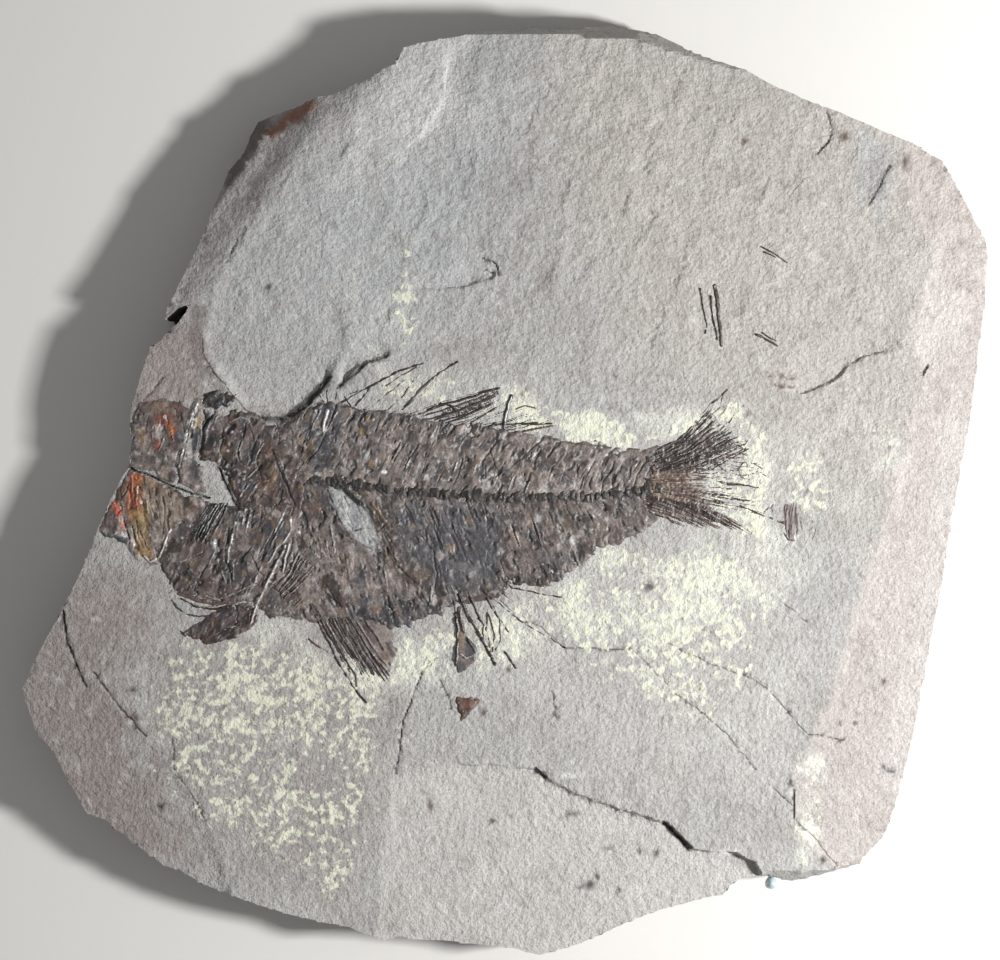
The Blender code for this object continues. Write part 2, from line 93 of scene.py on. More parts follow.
# Stains, as sRGB hex.
STAINS = {
    "grey": "A9A7A4", "cool": "A5A6A6", "ice": "B2B4B5", "beige": "AEA8A1", "mauve": "8D8380",
    "dusk": "5E5552", "ember": "8A5233", "pink": "B2A9A5", "pale": "BAB7B3", "white": "CFCDCA",
    "lime": "D0D0C6", "brown": "4A382E", "umber": "302622", "black": "15110F", "tan": "7F6C5A",
    "rust": "7C4A2C", "orange": "9E5A30", "red": "7E3B2A", "coral": "AE5238", "dim": "4C4C52",
    "slate": "3A3C43", "blue": "50555F", "skin": "5A5250", "film": "6B625D", "bone": "5E463A",
    "rock": "8B817C", "plum": "564A48", "mud": "6F6561", "ochre": "8A7049", "wine": "4E3A39",
}
COLOUR = {name: np.array(linear(value)) for name, value in STAINS.items()}


# Noise


def lattice_noise(x, y, seed):
    """Smooth noise between -1 and 1, with cells one unit wide."""
    table = np.random.default_rng(seed).uniform(-1.0, 1.0, (LATTICE, LATTICE))
    column, row = np.floor(x).astype(int), np.floor(y).astype(int)
    u, v = x - column, y - row
    u, v = u * u * (3 - 2 * u), v * v * (3 - 2 * v)
    left, right, top, low = column % LATTICE, (column + 1) % LATTICE, row % LATTICE, (row + 1) % LATTICE
    upper = table[left, top] * (1 - u) + table[right, top] * u
    lower = table[left, low] * (1 - u) + table[right, low] * u
    return upper * (1 - v) + lower * v


def fractal(x, y, size, seed, octaves=3):
    """Noise between about -1 and 1, of cells of a size and of ever smaller ones."""
    total, strength = np.zeros_like(x), 0.5
    for octave in range(octaves):
        scale = 2.03 ** octave / size
        total += strength * lattice_noise(x * scale + 17.3 * octave, y * scale - 9.1 * octave, seed + octave)
        strength *= 0.5
    return total * 1.3


def ease(value, low, high):
    """0 below low, 1 above high, and a smooth rise between."""
    share = np.clip((value - low) / (high - low), 0.0, 1.0)
    return share * share * (3 - 2 * share)


# Lines and outlines on the plan


def pairs(line):
    """The points of a line or an outline, which is written as x, y, x, y and so on."""
    return list(zip(line[::2], line[1::2]))


def line_reach(line, x, y):
    """How far each point is from a line, and how far along it the nearest place is, from 0 to 1."""
    nearest, share, points = np.full(x.shape, np.inf), np.zeros(x.shape), pairs(line)
    lengths = [math.dist(a, b) for a, b in zip(points, points[1:])]
    total, done = sum(lengths) or 1.0, 0.0
    for (ax, ay), (bx, by), length in zip(points, points[1:], lengths):
        dx, dy = bx - ax, by - ay
        along = np.clip(((x - ax) * dx + (y - ay) * dy) / (dx * dx + dy * dy), 0.0, 1.0)
        far = np.hypot(x - ax - along * dx, y - ay - along * dy)
        closer = far < nearest
        nearest = np.where(closer, far, nearest)
        share = np.where(closer, (done + along * length) / total, share)
        done += length
    return nearest, share


def outline_reach(outline, x, y):
    """How far each point lies inside an outline, less than 0 outside it."""
    far, _ = line_reach((*outline, *outline[:2]), x, y)
    crossings = np.zeros(x.shape, int)
    for (ax, ay), (bx, by) in zip(pairs(outline), pairs((*outline[2:], *outline[:2]))):
        if ay != by:
            crossings += ((ay > y) != (by > y)) & (x < ax + (y - ay) * (bx - ax) / (by - ay))
    return np.where(crossings % 2 == 1, far, -far)


def on_plan(x, y, height=0.0):
    """The place in metres of a point of the plan."""
    return Vector(((x - PLAN_CENTRE[0]) * UNIT, (PLAN_CENTRE[1] - y) * UNIT, height))


def between(first, last, share):
    """The point at a share of the way from one point to another."""
    return tuple(a + (b - a) * share for a, b in zip(first, last))


class Relief:
    """The corners of a sheet, which strokes, patches and spots raise, stain and polish."""

    def __init__(self, x, y, stain, seed=1, wobble=1.0):
        self.x, self.y, self.seed = x, y, seed
        self.wave_x = x + wobble * fractal(x, y, 9.0, seed)
        self.wave_y = y + wobble * fractal(x, y, 9.0, seed + 40)
        self.flow_x = x + 3.5 * fractal(x, y, 16.0, seed + 70)
        self.flow_y = y + 3.5 * fractal(x, y, 16.0, seed + 80)
        self.worn = ease(fractal(x, y, 5.0, seed + 60), -0.05, 0.3)
        self.base = np.zeros_like(x)
        self.ridge = np.zeros_like(x)
        self.groove = np.zeros_like(x)
        self.gloss = np.zeros_like(x)
        self.colour = np.tile(COLOUR[stain], (len(x), 1))

    def _mark(self, where, amount, stain, gloss):
        if stain:
            self.colour[where] += (COLOUR[stain] - self.colour[where]) * amount[:, None]
        if gloss is not None:
            self.gloss[where] += (gloss - self.gloss[where]) * amount

    def turned(self, turn, along, across):
        """Coordinates along and across a direction, counted in cells; the turn is in degrees."""
        sine, cosine = math.sin(math.radians(turn)), math.cos(math.radians(turn))
        u = (self.flow_x * cosine - self.flow_y * sine) / along
        return u, (self.flow_x * sine + self.flow_y * cosine) / across

    def stroke(
        self, line, width, rise=0.0, stain=None, gloss=None, strength=1.0, ends=(1.0, 1.0), wear=0.45,
    ):
        """A line of bone, worn in places, or a groove where the rise is below nought."""
        span = width + 2.0
        xs, ys = line[::2], line[1::2]
        where = np.nonzero(
            (self.wave_x > min(xs) - span) & (self.wave_x < max(xs) + span)
            & (self.wave_y > min(ys) - span) & (self.wave_y < max(ys) + span)
        )[0]
        far, share = line_reach(line, self.wave_x[where], self.wave_y[where])
        half = 0.5 * width * (ends[0] + (ends[1] - ends[0]) * share) * (1.0 - 0.5 * wear * self.worn[where])
        profile = np.clip(1.0 - (far / np.maximum(half, 0.2)) ** 2, 0.0, 1.0)
        kept = profile * (1.0 - wear * self.worn[where])
        if rise > 0.0:
            self.ridge[where] = np.maximum(self.ridge[where], rise * kept)
        elif rise < 0.0:
            self.groove[where] = np.minimum(self.groove[where], rise * kept)
        self._mark(where, strength * ease(profile, 0.0, 0.6) * (1.0 - wear * self.worn[where]), stain, gloss)

    def patch(self, outline, stain=None, soft=3.0, strength=1.0, rise=0.0, gloss=None, rag=1.5, seed=3):
        """A stained or raised patch with a ragged, soft edge."""
        reach = outline_reach(outline, self.wave_x, self.wave_y)
        reach += (
            rag * fractal(self.x, self.y, 5.0, seed) + 0.4 * soft * fractal(self.x, self.y, 13.0, seed + 1)
        )
        amount = ease(reach, -0.5 * soft, 0.5 * soft)
        where = np.nonzero(amount > 0.0)[0]
        self.base[where] += rise * amount[where]
        self._mark(where, strength * amount[where], stain, gloss)

    def spot(self, centre, radii, stain=None, strength=1.0, rise=0.0, gloss=None, core=0.35):
        """A soft oval spot."""
        far = np.hypot((self.wave_x - centre[0]) / radii[0], (self.wave_y - centre[1]) / radii[1])
        far += 0.25 * fractal(self.x, self.y, 4.0, self.seed + 9)
        where = np.nonzero(far < 1.0)[0]
        amount = 1.0 - ease(far[where], core, 1.0)
        self.base[where] += rise * amount
        self._mark(where, strength * amount, stain, gloss)

    def strokes(self, rows):
        """Several strokes, each as (line, width, rise, stain, gloss)."""
        for line, width, rise, stain, gloss in rows:
            self.stroke(line, width, rise, stain, gloss)

    def fan(
        self, base, tips, count, width, rise, stain, gloss=0.3, seed=5, ends=(1.0, 0.5), bend=0.0,
        spread=2.0, wear=0.35,
    ):
        """Rays that run from places along the base line to places along the line of tips."""
        rng = np.random.default_rng(seed)
        for place in range(count):
            share = place / max(1, count - 1)
            foot, tip = between(base[:2], base[2:], share), between(tips[:2], tips[2:], share)
            foot = tuple(value + rng.uniform(-0.7, 0.7) for value in foot)
            tip = between(foot, tip, rng.uniform(0.86, 1.04))
            tip = tuple(value + rng.uniform(-spread, spread) for value in tip)
            middle = between(foot, tip, 0.5)
            turn = bend + rng.uniform(-0.03, 0.03)
            along = Vector((tip[0] - foot[0], tip[1] - foot[1]))
            middle = (middle[0] - along.y * turn, middle[1] + along.x * turn)
            line = (*foot, *middle, *tip)
            self.stroke(line, width, rise * rng.uniform(0.8, 1.15), stain, gloss, 0.9, ends, wear)

    def wrinkles(self, turn, along, across, rise, seed, dark=0.5, shine=0.3, where=1.0):
        """Fine uneven ridges and pits, drawn out along a direction, with painted highlight on the crests and
        painted shade in the pits.
        """
        u, v = self.turned(turn, along, across)
        crest = 1.0 - ease(np.abs(fractal(u, v, 1.0, seed, 3)), 0.0, 0.3)
        pit = ease(fractal(u, v, 1.0, seed + 7, 3), 0.18, 0.45)
        self.base += where * rise * (crest - 0.3 - 0.7 * pit)
        # Painted highlight on the crests, painted shade in the pits.
        self.colour *= (1.0 + where * dark * (0.8 * crest - 0.25 - 0.85 * pit))[:, None]
        self.gloss += where * shine * crest

    def flecks(
        self, stain, level, size, seed, turn=0.0, stretch=1.0, strength=0.8, rise=0.0, gloss=None,
        where=1.0,
    ):
        """Flecks of a stain, fewer and smaller as the level goes up."""
        u, v = self.turned(turn, size * stretch, size)
        amount = where * ease(fractal(u, v, 1.0, seed, 3), level, level + 0.14)
        self.base += rise * amount
        self._mark(np.arange(len(self.x)), strength * amount, stain, gloss)

    def mottle(self, size, amount, seed):
        """Uneven darkness."""
        self.colour *= (1.0 + amount * fractal(self.x, self.y, size, seed))[:, None]

    def rises(self):
        """The rise of every corner in mm."""
        return self.base + self.ridge + self.groove


# Meshes


def corner_plan(bm):
    """The plan of every corner of a bmesh."""
    places = np.array([vert.co[:] for vert in bm.verts])
    return places[:, 0] / UNIT + PLAN_CENTRE[0], PLAN_CENTRE[1] - places[:, 1] / UNIT


def mark_corners(bm, marks):
    """Writes marks, one value or one colour for every corner, on a bmesh."""
    for layer, values in marks.items():
        if values.ndim == 2:
            place = bm.verts.layers.float_color.new(layer)
            for vert, (red, green, blue) in zip(bm.verts, values.tolist()):
                vert[place] = (red, green, blue, 1.0)
        else:
            place = bm.verts.layers.float.new(layer)
            for vert, value in zip(bm.verts, values.tolist()):
                vert[place] = value


def finished(name, bm, material):
    """The object made from a bmesh, riding on the slab's body."""
    mesh = bpy.data.meshes.new(name)
    bm.to_mesh(mesh)
    bm.free()
    mesh.materials.append(material)
    mesh.shade_smooth()
    made = bpy.data.objects.new(name, mesh)
    bpy.context.scene.collection.objects.link(made)
    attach(made, "root")
    return made


@functools.cache
def stone_tree():
    """The finished slab as a tree that rays can be cast on."""
    return BVHTree.FromObject(bpy.data.objects["shale_slab"], bpy.context.evaluated_depsgraph_get())


def stone_heights(x, y):
    """The height of the slab's face under each point of the plan, or nan beside the slab."""
    tree, down = stone_tree(), Vector((0.0, 0.0, -1.0))
    heights = np.full(len(x), np.nan)
    top = SLAB_HIGH.z + 0.01
    for place, (px, py) in enumerate(zip(x.tolist(), y.tolist())):
        hit = tree.ray_cast(on_plan(px, py, top), down)
        if hit[0] is not None:
            heights[place] = hit[0].z
    return heights


def drop_corner_touches(bm):
    """Deletes faces that meet the rest of the sheet at a corner only."""
    while True:
        pinched = [vert for vert in bm.verts if sum(edge.is_boundary for edge in vert.link_edges) > 2]
        if not pinched:
            break
        bmesh.ops.delete(bm, geom=pinched, context="VERTS")
    loose = [vert for vert in bm.verts if not vert.link_faces]
    bmesh.ops.delete(bm, geom=loose, context="VERTS")


def fossil_sheet(name, outline, paint, cell, material, nodes, stain="skin", seed=1, wobble=1.0):
    """A closed sheet that follows the stone, with the relief and the stains that paint gives it."""
    xs, ys = outline[::2], outline[1::2]
    low = (min(xs) - SHEET_MARGIN, min(ys) - SHEET_MARGIN)
    high = (max(xs) + SHEET_MARGIN, max(ys) + SHEET_MARGIN)
    across, down = (math.ceil((b - a) * UNIT / cell) for a, b in zip(low, high))
    bm = bmesh.new()
    bmesh.ops.create_grid(bm, x_segments=across, y_segments=down, size=1.0)
    half = Vector(((high[0] - low[0]) * UNIT / 2, (high[1] - low[1]) * UNIT / 2, 1.0))
    middle = on_plan((low[0] + high[0]) / 2, (low[1] + high[1]) / 2)
    bmesh.ops.scale(bm, vec=half, verts=bm.verts)
    bmesh.ops.translate(bm, vec=middle, verts=bm.verts)
    x, y = corner_plan(bm)
    reach = outline_reach(outline, x, y)
    outside = [vert for vert, far in zip(bm.verts, reach) if far < -SHEET_MARGIN]
    bmesh.ops.delete(bm, geom=outside, context="VERTS")
    x, y = corner_plan(bm)
    heights = stone_heights(x, y)
    lost = ~(heights > SLAB_HIGH.z - RIM_DROP)
    bmesh.ops.delete(bm, geom=[vert for vert, gone in zip(bm.verts, lost) if gone], context="VERTS")
    drop_corner_touches(bm)
    x, y = corner_plan(bm)
    heights = stone_heights(x, y)
    relief = Relief(x, y, stain, seed, wobble)
    paint(relief, outline_reach(outline, relief.wave_x, relief.wave_y))
    for vert, height in zip(bm.verts, (heights + relief.rises() * MM).tolist()):
        vert.co.z = height
    mark_corners(bm, {"stain": relief.colour, "gloss": relief.gloss})
    close_below(bm)
    made = finished(name, bm, material)
    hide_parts(*nodes)
    return made


def close_below(bm):
    """Turns a sheet into a closed solid, with a flat floor under the stone's face."""
    rim = [edge for edge in bm.edges if edge.is_boundary]
    floor = min(vert.co.z for vert in bm.verts) - SHEET_FLOOR
    made = bmesh.ops.extrude_edge_only(bm, edges=rim)["geom"]
    for item in made:
        if isinstance(item, bmesh.types.BMVert):
            item.co.z = floor
    low_rim = [item for item in made if isinstance(item, bmesh.types.BMEdge) and item.is_boundary]
    bmesh.ops.edgeloop_fill(bm, edges=low_rim)
    bmesh.ops.recalc_face_normals(bm, faces=bm.faces)


# Materials


def node(tree, kind, settings=None, inputs=None):
    """Adds a node; each input takes a value or another node's output."""
    made = tree.nodes.new(kind)
    for name, value in (settings or {}).items():
        setattr(made, name, value)
    for name, value in (inputs or {}).items():
        if isinstance(value, bpy.types.NodeSocket):
            tree.links.new(value, made.inputs[name])
        else:
            made.inputs[name].default_value = value
    return made


def new_material(name):
    """An empty material: its tree, shader and Object coordinates."""
    made = bpy.data.materials.new(name)
    made.use_nodes = True
    tree = made.node_tree
    shader = tree.nodes["Principled BSDF"]
    coordinates = tree.nodes.new("ShaderNodeTexCoord").outputs["Object"]
    return made, tree, shader, coordinates


def split_shale(settings):
    """Split grey shale: matt, with fine grain that catches the light, and a bloom of pale yellow mineral."""
    made, tree, shader, place = new_material("split_shale")
    turned = node(tree, "ShaderNodeMapping", None, {
        "Vector": place, "Rotation": (0.0, 0.0, settings.grain_turn), "Scale": (1.0, 0.55, 1.0),
    }).outputs[0]
    grain, scratch, pits, cloud, speck = (
        node(tree, "ShaderNodeTexNoise", None, {
            "Vector": vector, "Scale": 1 / size, "Detail": detail, "Roughness": rough,
        }).outputs["Fac"]
        for vector, size, detail, rough in (
            (place, settings.grit, 3.0, 0.65), (turned, settings.scratch, 4.0, 0.6),
            (place, settings.pits, 2.0, 0.5), (place, settings.cloud, 3.0, 0.55),
            (place, settings.bloom_size, 3.0, 0.55),
        )
    )
    tint = node(tree, "ShaderNodeAttribute", {"attribute_name": "stain"}).outputs["Color"]
    bloom = node(tree, "ShaderNodeAttribute", {"attribute_name": "bloom"}).outputs["Fac"]
    tone = 1.0
    for noise, least, most in ((grain, 0.78, 1.22), (scratch, 0.95, 1.05), (cloud, 0.94, 1.06)):
        light = node(tree, "ShaderNodeMapRange", None, {
            "Value": noise, 1: NOISE_LOW, 2: NOISE_HIGH, 3: least, 4: most,
        }).outputs[0]
        tone = node(tree, "ShaderNodeMath", {"operation": "MULTIPLY"}, {0: tone, 1: light}).outputs[0]
    stone = node(tree, "ShaderNodeVectorMath", {"operation": "SCALE"}, {0: tint, "Scale": tone}).outputs[0]
    reach = node(tree, "ShaderNodeMath", {"operation": "ADD"}, {0: speck, 1: bloom}).outputs[0]
    amount = node(tree, "ShaderNodeMapRange", None, {
        "Value": reach, 1: 1.01, 2: 1.14, 3: 0.0, 4: 0.9,
    }).outputs[0]
    coloured = node(tree, "ShaderNodeMix", {"data_type": "RGBA"}, {
        0: amount, 6: stone, 7: (*settings.bloom_colour, 1.0),
    }).outputs[2]
    height = grain
    for rise, weight in ((pits, 1.9), (scratch, 1.0), (amount, 0.35)):
        height = node(tree, "ShaderNodeMath", {"operation": "MULTIPLY_ADD"}, {
            0: rise, 1: weight, 2: height,
        }).outputs[0]
    bump = node(tree, "ShaderNodeBump", None, {
        "Height": height, "Strength": 0.8, "Distance": settings.bump_depth,
    }).outputs[0]
    tree.links.new(coloured, shader.inputs["Base Color"])
    tree.links.new(bump, shader.inputs["Normal"])
    shader.inputs["Roughness"].default_value = 0.88
    shader.inputs["Specular IOR Level"].default_value = 0.3
    return made


def fossil_bone(name, settings, grit, depth):
    """Fossil bone: brown phosphate with a resinous shine where it is whole, dull where it has flaked."""
    made, tree, shader, place = new_material(name)
    stain = node(tree, "ShaderNodeAttribute", {"attribute_name": "stain"}).outputs["Color"]
    gloss = node(tree, "ShaderNodeAttribute", {"attribute_name": "gloss"}).outputs["Fac"]
    grain = node(tree, "ShaderNodeTexNoise", None, {
        "Vector": place, "Scale": 1 / grit, "Detail": 4.0, "Roughness": 0.65,
    }).outputs["Fac"]
    light = node(tree, "ShaderNodeMapRange", None, {
        "Value": grain, 1: NOISE_LOW, 2: NOISE_HIGH, 3: 0.55, 4: 1.38,
    }).outputs[0]
    tone = node(tree, "ShaderNodeVectorMath", {"operation": "SCALE"}, {0: stain, "Scale": light}).outputs[0]
    bump = node(tree, "ShaderNodeBump", None, {
        "Height": grain, "Strength": 0.7, "Distance": depth,
    }).outputs[0]
    rough = node(tree, "ShaderNodeMapRange", None, {
        "Value": gloss, 1: 0.0, 2: 1.0, 3: settings.dull, 4: settings.shine,
    }).outputs[0]
    tree.links.new(tone, shader.inputs["Base Color"])
    tree.links.new(rough, shader.inputs["Roughness"])
    tree.links.new(bump, shader.inputs["Normal"])
    shader.inputs["IOR"].default_value = 1.6
    return made


# The slab

# Its outline, clockwise from the top left corner, with the notch in its left side.
SLAB_OUTLINE = (
    403, 46, 428, 40, 458, 35, 475, 30, 500, 27, 517, 20, 530, 18, 546, 25, 573, 25, 593, 19, 613, 17, 629,
    21, 659, 27, 676, 37, 692, 46, 712, 55, 740, 66, 778, 87, 812, 101, 845, 114, 878, 128, 911, 141, 943,
    158, 949, 166, 961, 189, 971, 209, 981, 226, 989, 242, 991, 256, 989, 282, 986, 318, 981, 348, 978, 375,
    972, 420, 963, 470, 951, 540, 944, 583, 936, 626, 928, 673, 921, 706, 911, 756, 900, 799, 890, 832, 881,
    845, 866, 858, 863, 867, 838, 875, 812, 883, 795, 887, 765, 878, 745, 880, 732, 887, 724, 897, 696, 902,
    666, 910, 636, 921, 606, 935, 580, 946, 556, 953, 540, 957, 526, 954, 509, 949, 484, 947, 459, 944, 441,
    942, 420, 942, 399, 938, 385, 942, 370, 938, 348, 928, 327, 925, 285, 915, 259, 907, 232, 897, 199, 885,
    179, 872, 162, 868, 146, 855, 123, 838, 103, 822, 85, 815, 78, 802, 63, 776, 53, 756, 33, 731, 30, 722,
    25, 706, 20, 689, 25, 682, 31, 666, 43, 643, 53, 623, 63, 606, 76, 577, 90, 546, 95, 530, 100, 520, 108,
    502, 115, 487, 119, 478, 129, 465, 128, 455, 130, 443, 128, 425, 130, 408, 136, 387, 141, 370, 149, 346,
    158, 340, 169, 331, 178, 321, 184, 312, 188, 306, 178, 309, 165, 321, 164, 315, 166, 307, 174, 290, 186,
    265, 202, 232, 212, 206, 219, 189, 226, 169, 239, 153, 247, 133, 255, 118, 272, 111, 289, 106, 312, 96,
    335, 91, 361, 81, 381, 68, 395, 61,
)

# The broken side, from the underside up: share of the thickness, inset and unevenness in mm.
SIDE_BANDS = (
    (0.00, 1.00, 0.30), (0.09, 0.30, 0.40), (0.30, 0.05, 0.35), (0.33, 0.40, 0.40), (0.55, 0.15, 0.30),
    (0.58, 0.00, 0.10), (0.80, 0.05, 0.25), (1.00, 0.00, 0.08),
)

# Where sheets of the stone have come away: the outline, three points (x, y, depth in mm) of the tilted
# floor, the line along which the edge is steep, and the widths of the steep edge and of the soft one.
DIPS = (
    ((215, 296, 203, 325, 201, 350, 212, 370, 225, 385, 245, 410, 262, 414, 278, 417, 290, 417, 308, 402,
        318, 391, 328, 378, 350, 352, 345, 310, 300, 270, 255, 268), ((290, 416, 1.25), (202, 338, 0.45),
        (320, 300, 0.05)), (278, 417, 290, 417, 308, 402, 318, 391, 328, 378), 3.0, 9.0),
    ((341, 384, 352, 373, 365, 362, 385, 357, 396, 335, 350, 322, 328, 356),
        ((341, 383, 0.95), (385, 356, 0.75), (350, 325, 0.0)), (341, 384, 352, 373, 365, 362, 385, 357),
        2.6, 26.0),
    ((105, 455, 131, 467, 140, 470, 160, 478, 180, 487, 206, 499, 165, 560, 110, 612, 60, 600, 70, 530),
        ((125, 467, 0.75), (208, 500, 0.0), (108, 614, 0.0)),
        (105, 455, 131, 467, 140, 470, 160, 478, 180, 487, 206, 499), 2.0, 10.0),
    ((393, 772, 391, 800, 383, 850, 381, 895, 374, 970, 560, 990, 770, 920, 765, 878, 756, 862, 735, 852,
        700, 850, 690, 848, 682, 838, 665, 822, 610, 805, 570, 790, 545, 776, 535, 769, 500, 764, 455, 763,
        420, 767), ((390, 780, 0.16), (690, 845, 1.25),
        (480, 945, 0.5)), (455, 763, 500, 764, 535, 769, 545, 776, 570, 790, 610, 805, 665, 822, 682, 838,
        690, 848, 700, 850, 735, 852, 756, 862, 765, 878), 2.4, 5.0),
    ((885, 110, 897, 166, 908, 212, 938, 252, 921, 298, 908, 342, 924, 373, 1010, 390, 1010, 180, 960, 110),
        ((903, 150, 0.0), (918, 373, 0.0), (990, 260, 1.3)), None, 4.0, 4.0),
    ((920, 360, 905, 430, 890, 500, 871, 560, 858, 596, 845, 633, 835, 673, 812, 736, 794, 772, 792, 815,
        812, 850, 862, 890, 960, 860, 1010, 420, 1010, 360), ((914, 373, 0.0), (800, 760, 0.0),
        (936, 626, 1.4)), None, 12.0, 12.0),
    ((740, 393, 806, 394, 825, 386, 838, 379, 850, 365, 862, 359, 880, 353, 905, 352, 905, 300, 850, 285,
        770, 320), ((740, 392, 0.0), (845, 368, 0.5),
        (905, 295, 0.0)), (800, 394, 825, 386, 838, 379, 850, 365, 862, 359, 880, 353), 1.8, 26.0),
    ((420, 290, 440, 290, 462, 288, 478, 283, 496, 278, 500, 262, 488, 256, 450, 262, 425, 272),
        ((420, 289, 0.12), (490, 280, 0.42), (450, 262, 0.0)),
        (420, 290, 440, 290, 462, 288, 478, 283, 496, 278), 1.8, 14.0),
    ((448, 20, 446, 60, 445, 82, 441, 102, 432, 118, 420, 134, 405, 148, 442, 170, 482, 120, 500, 60, 495,
        10), ((446, 60, 0.40), (405, 148, 0.35), (484, 100, 0.0)), (446, 60, 445, 82, 441, 102, 432, 118,
        420, 134, 405, 148), 2.2, 30.0),
    ((400, 30, 395, 80, 345, 125, 318, 130, 300, 155, 270, 200, 235, 250, 205, 300, 192, 320, 150, 320, 150,
        60, 340, 30), ((395, 84, 0.0), (208, 296, 0.0), (240, 145, 2.3)), None, 30.0, 30.0),
    ((335, 60, 305, 118, 262, 137, 228, 190, 214, 222, 190, 230, 190, 60),
        ((300, 122, 1.2), (226, 194, 1.6), (236, 146, 4.5)), None, 5.0, 5.0),
    ((468, 31, 475, 33, 500, 33, 560, 34, 640, 40, 664, 50, 664, -10, 468, -10),
        ((475, 34, 0.1), (640, 42, 0.1), (560, 25, 4.2)), None, 3.0, 3.0),
    ((640, 40, 665, 50, 700, 60, 742, 71, 760, 60, 700, 0, 640, 0),
        ((640, 42, 0.1), (742, 71, 0.1), (690, 44, 4.2)), None, 3.0, 3.0),
    ((762, 872, 800, 874, 845, 868, 868, 853, 900, 870, 850, 920, 762, 920),
        ((768, 872, 0.1), (862, 859, 0.1), (820, 881, 4.6)), None, 2.0, 2.0),
    ((63, 604, 66, 639, 80, 673, 94, 678, 113, 699, 146, 736, 172, 741, 174, 769, 192, 795, 206, 822, 225,
        868, 240, 930, 0, 930, 0, 604), ((80, 673, 0.12), (192, 795, 0.12),
        (60, 775, 0.95)), None, 10.0, 10.0),
)

# The stone's hue, and in places painted light and shade: outline, stain, softness of the edge, strength.
STONE_HUES_AND_SHADING = (
    ((90, 0, 560, 0, 520, 170, 440, 300, 340, 380, 90, 330), "cool", 110.0, 0.75),
    ((330, 170, 470, 150, 480, 300, 400, 340, 320, 290), "ice", 80.0, 0.45),
    ((560, 0, 1000, 120, 1000, 420, 860, 520, 620, 330, 560, 160), "beige", 110.0, 0.65),
    # The right margin's pink is the stone's tint, and partly painted light where the bevel faces the lamp.
    ((905, 140, 908, 212, 938, 252, 921, 298, 908, 342, 924, 373, 890, 500, 858, 596, 835, 673, 812, 736,
        794, 772, 792, 830, 868, 900, 1010, 860, 1010, 120), "pink", 12.0, 0.7),
    ((381, 895, 391, 780, 420, 767, 500, 764, 535, 770, 570, 790, 610, 805, 665, 822, 700, 850, 765, 878,
        765, 990, 374, 990), "pale", 9.0, 0.7),
    ((520, 560, 760, 540, 800, 660, 780, 800, 600, 780, 500, 700), "pale", 90.0, 0.35),
    ((380, 40, 345, 115, 300, 150, 262, 205, 225, 260, 195, 310, 120, 420, 80, 330, 180, 60),
        "mauve", 40.0, 0.5),
    ((430, 150, 560, 150, 600, 330, 440, 390, 390, 250), "dim", 90.0, 0.10),
    ((350, 60, 470, 30, 470, 120, 340, 190), "white", 60.0, 0.45),
    ((120, 330, 205, 315, 208, 400, 130, 410), "mauve", 30.0, 0.8),
    ((60, 560, 170, 570, 150, 640, 120, 700, 150, 780, 190, 860, 0, 900, 0, 600), "mauve", 60.0, 0.75),
    ((50, 690, 110, 700, 170, 790, 210, 870, 120, 860, 40, 760), "mauve", 30.0, 0.4),
    ((150, 625, 300, 630, 400, 640, 400, 700, 380, 800, 340, 915, 230, 860, 150, 780), "mauve", 50.0, 0.4),
    ((212, 300, 205, 325, 205, 350, 214, 370, 230, 392, 220, 398, 200, 376, 190, 345, 193, 310),
        "dusk", 6.0, 0.45),
    # Dusk on the broken rim at the top left: painted shade on facets turned from the lamp; the ember beside
    # it is the stone's own orange.
    ((248, 118, 266, 104, 266, 130, 240, 168, 228, 190, 222, 170), "dusk", 8.0, 0.75),
    ((262, 128, 284, 112, 314, 97, 318, 102, 296, 122, 270, 138), "ember", 5.0, 0.7),
    ((854, 132, 862, 126, 894, 150, 893, 205, 878, 220, 866, 200, 852, 212, 858, 175), "cool", 8.0, 0.6),
    # Dusk on a small facet at the right: painted shade where it turns from the lamp.
    ((862, 200, 880, 178, 893, 166, 892, 196, 870, 204), "dusk", 5.0, 0.2),
    # White on the right margin: painted light on the bevel that faces the lamp.
    ((918, 255, 938, 252, 921, 298, 908, 342, 924, 373, 960, 360, 975, 300), "white", 12.0, 0.25),
    ((940, 420, 972, 420, 900, 800, 880, 780, 930, 560), "white", 16.0, 0.2),
)
BELLY_BLOOM = (
    250, 632, 330, 642, 400, 622, 450, 612, 520, 586, 600, 556, 660, 532, 760, 545, 770, 600, 660, 640, 560,
    640, 480, 680, 390, 700, 300, 665,
)
BACK_BLOOM = (
    505, 402, 560, 406, 600, 422, 640, 434, 695, 410, 736, 396, 742, 410, 710, 440, 640, 450, 540, 434, 500,
    420,
)
DORSAL_BLOOM = (345, 392, 395, 366, 440, 362, 545, 392, 560, 404, 500, 415, 430, 405, 350, 400)
TAIL_BLOOM = (700, 460, 745, 425, 772, 445, 780, 500, 770, 540, 740, 545, 705, 500)
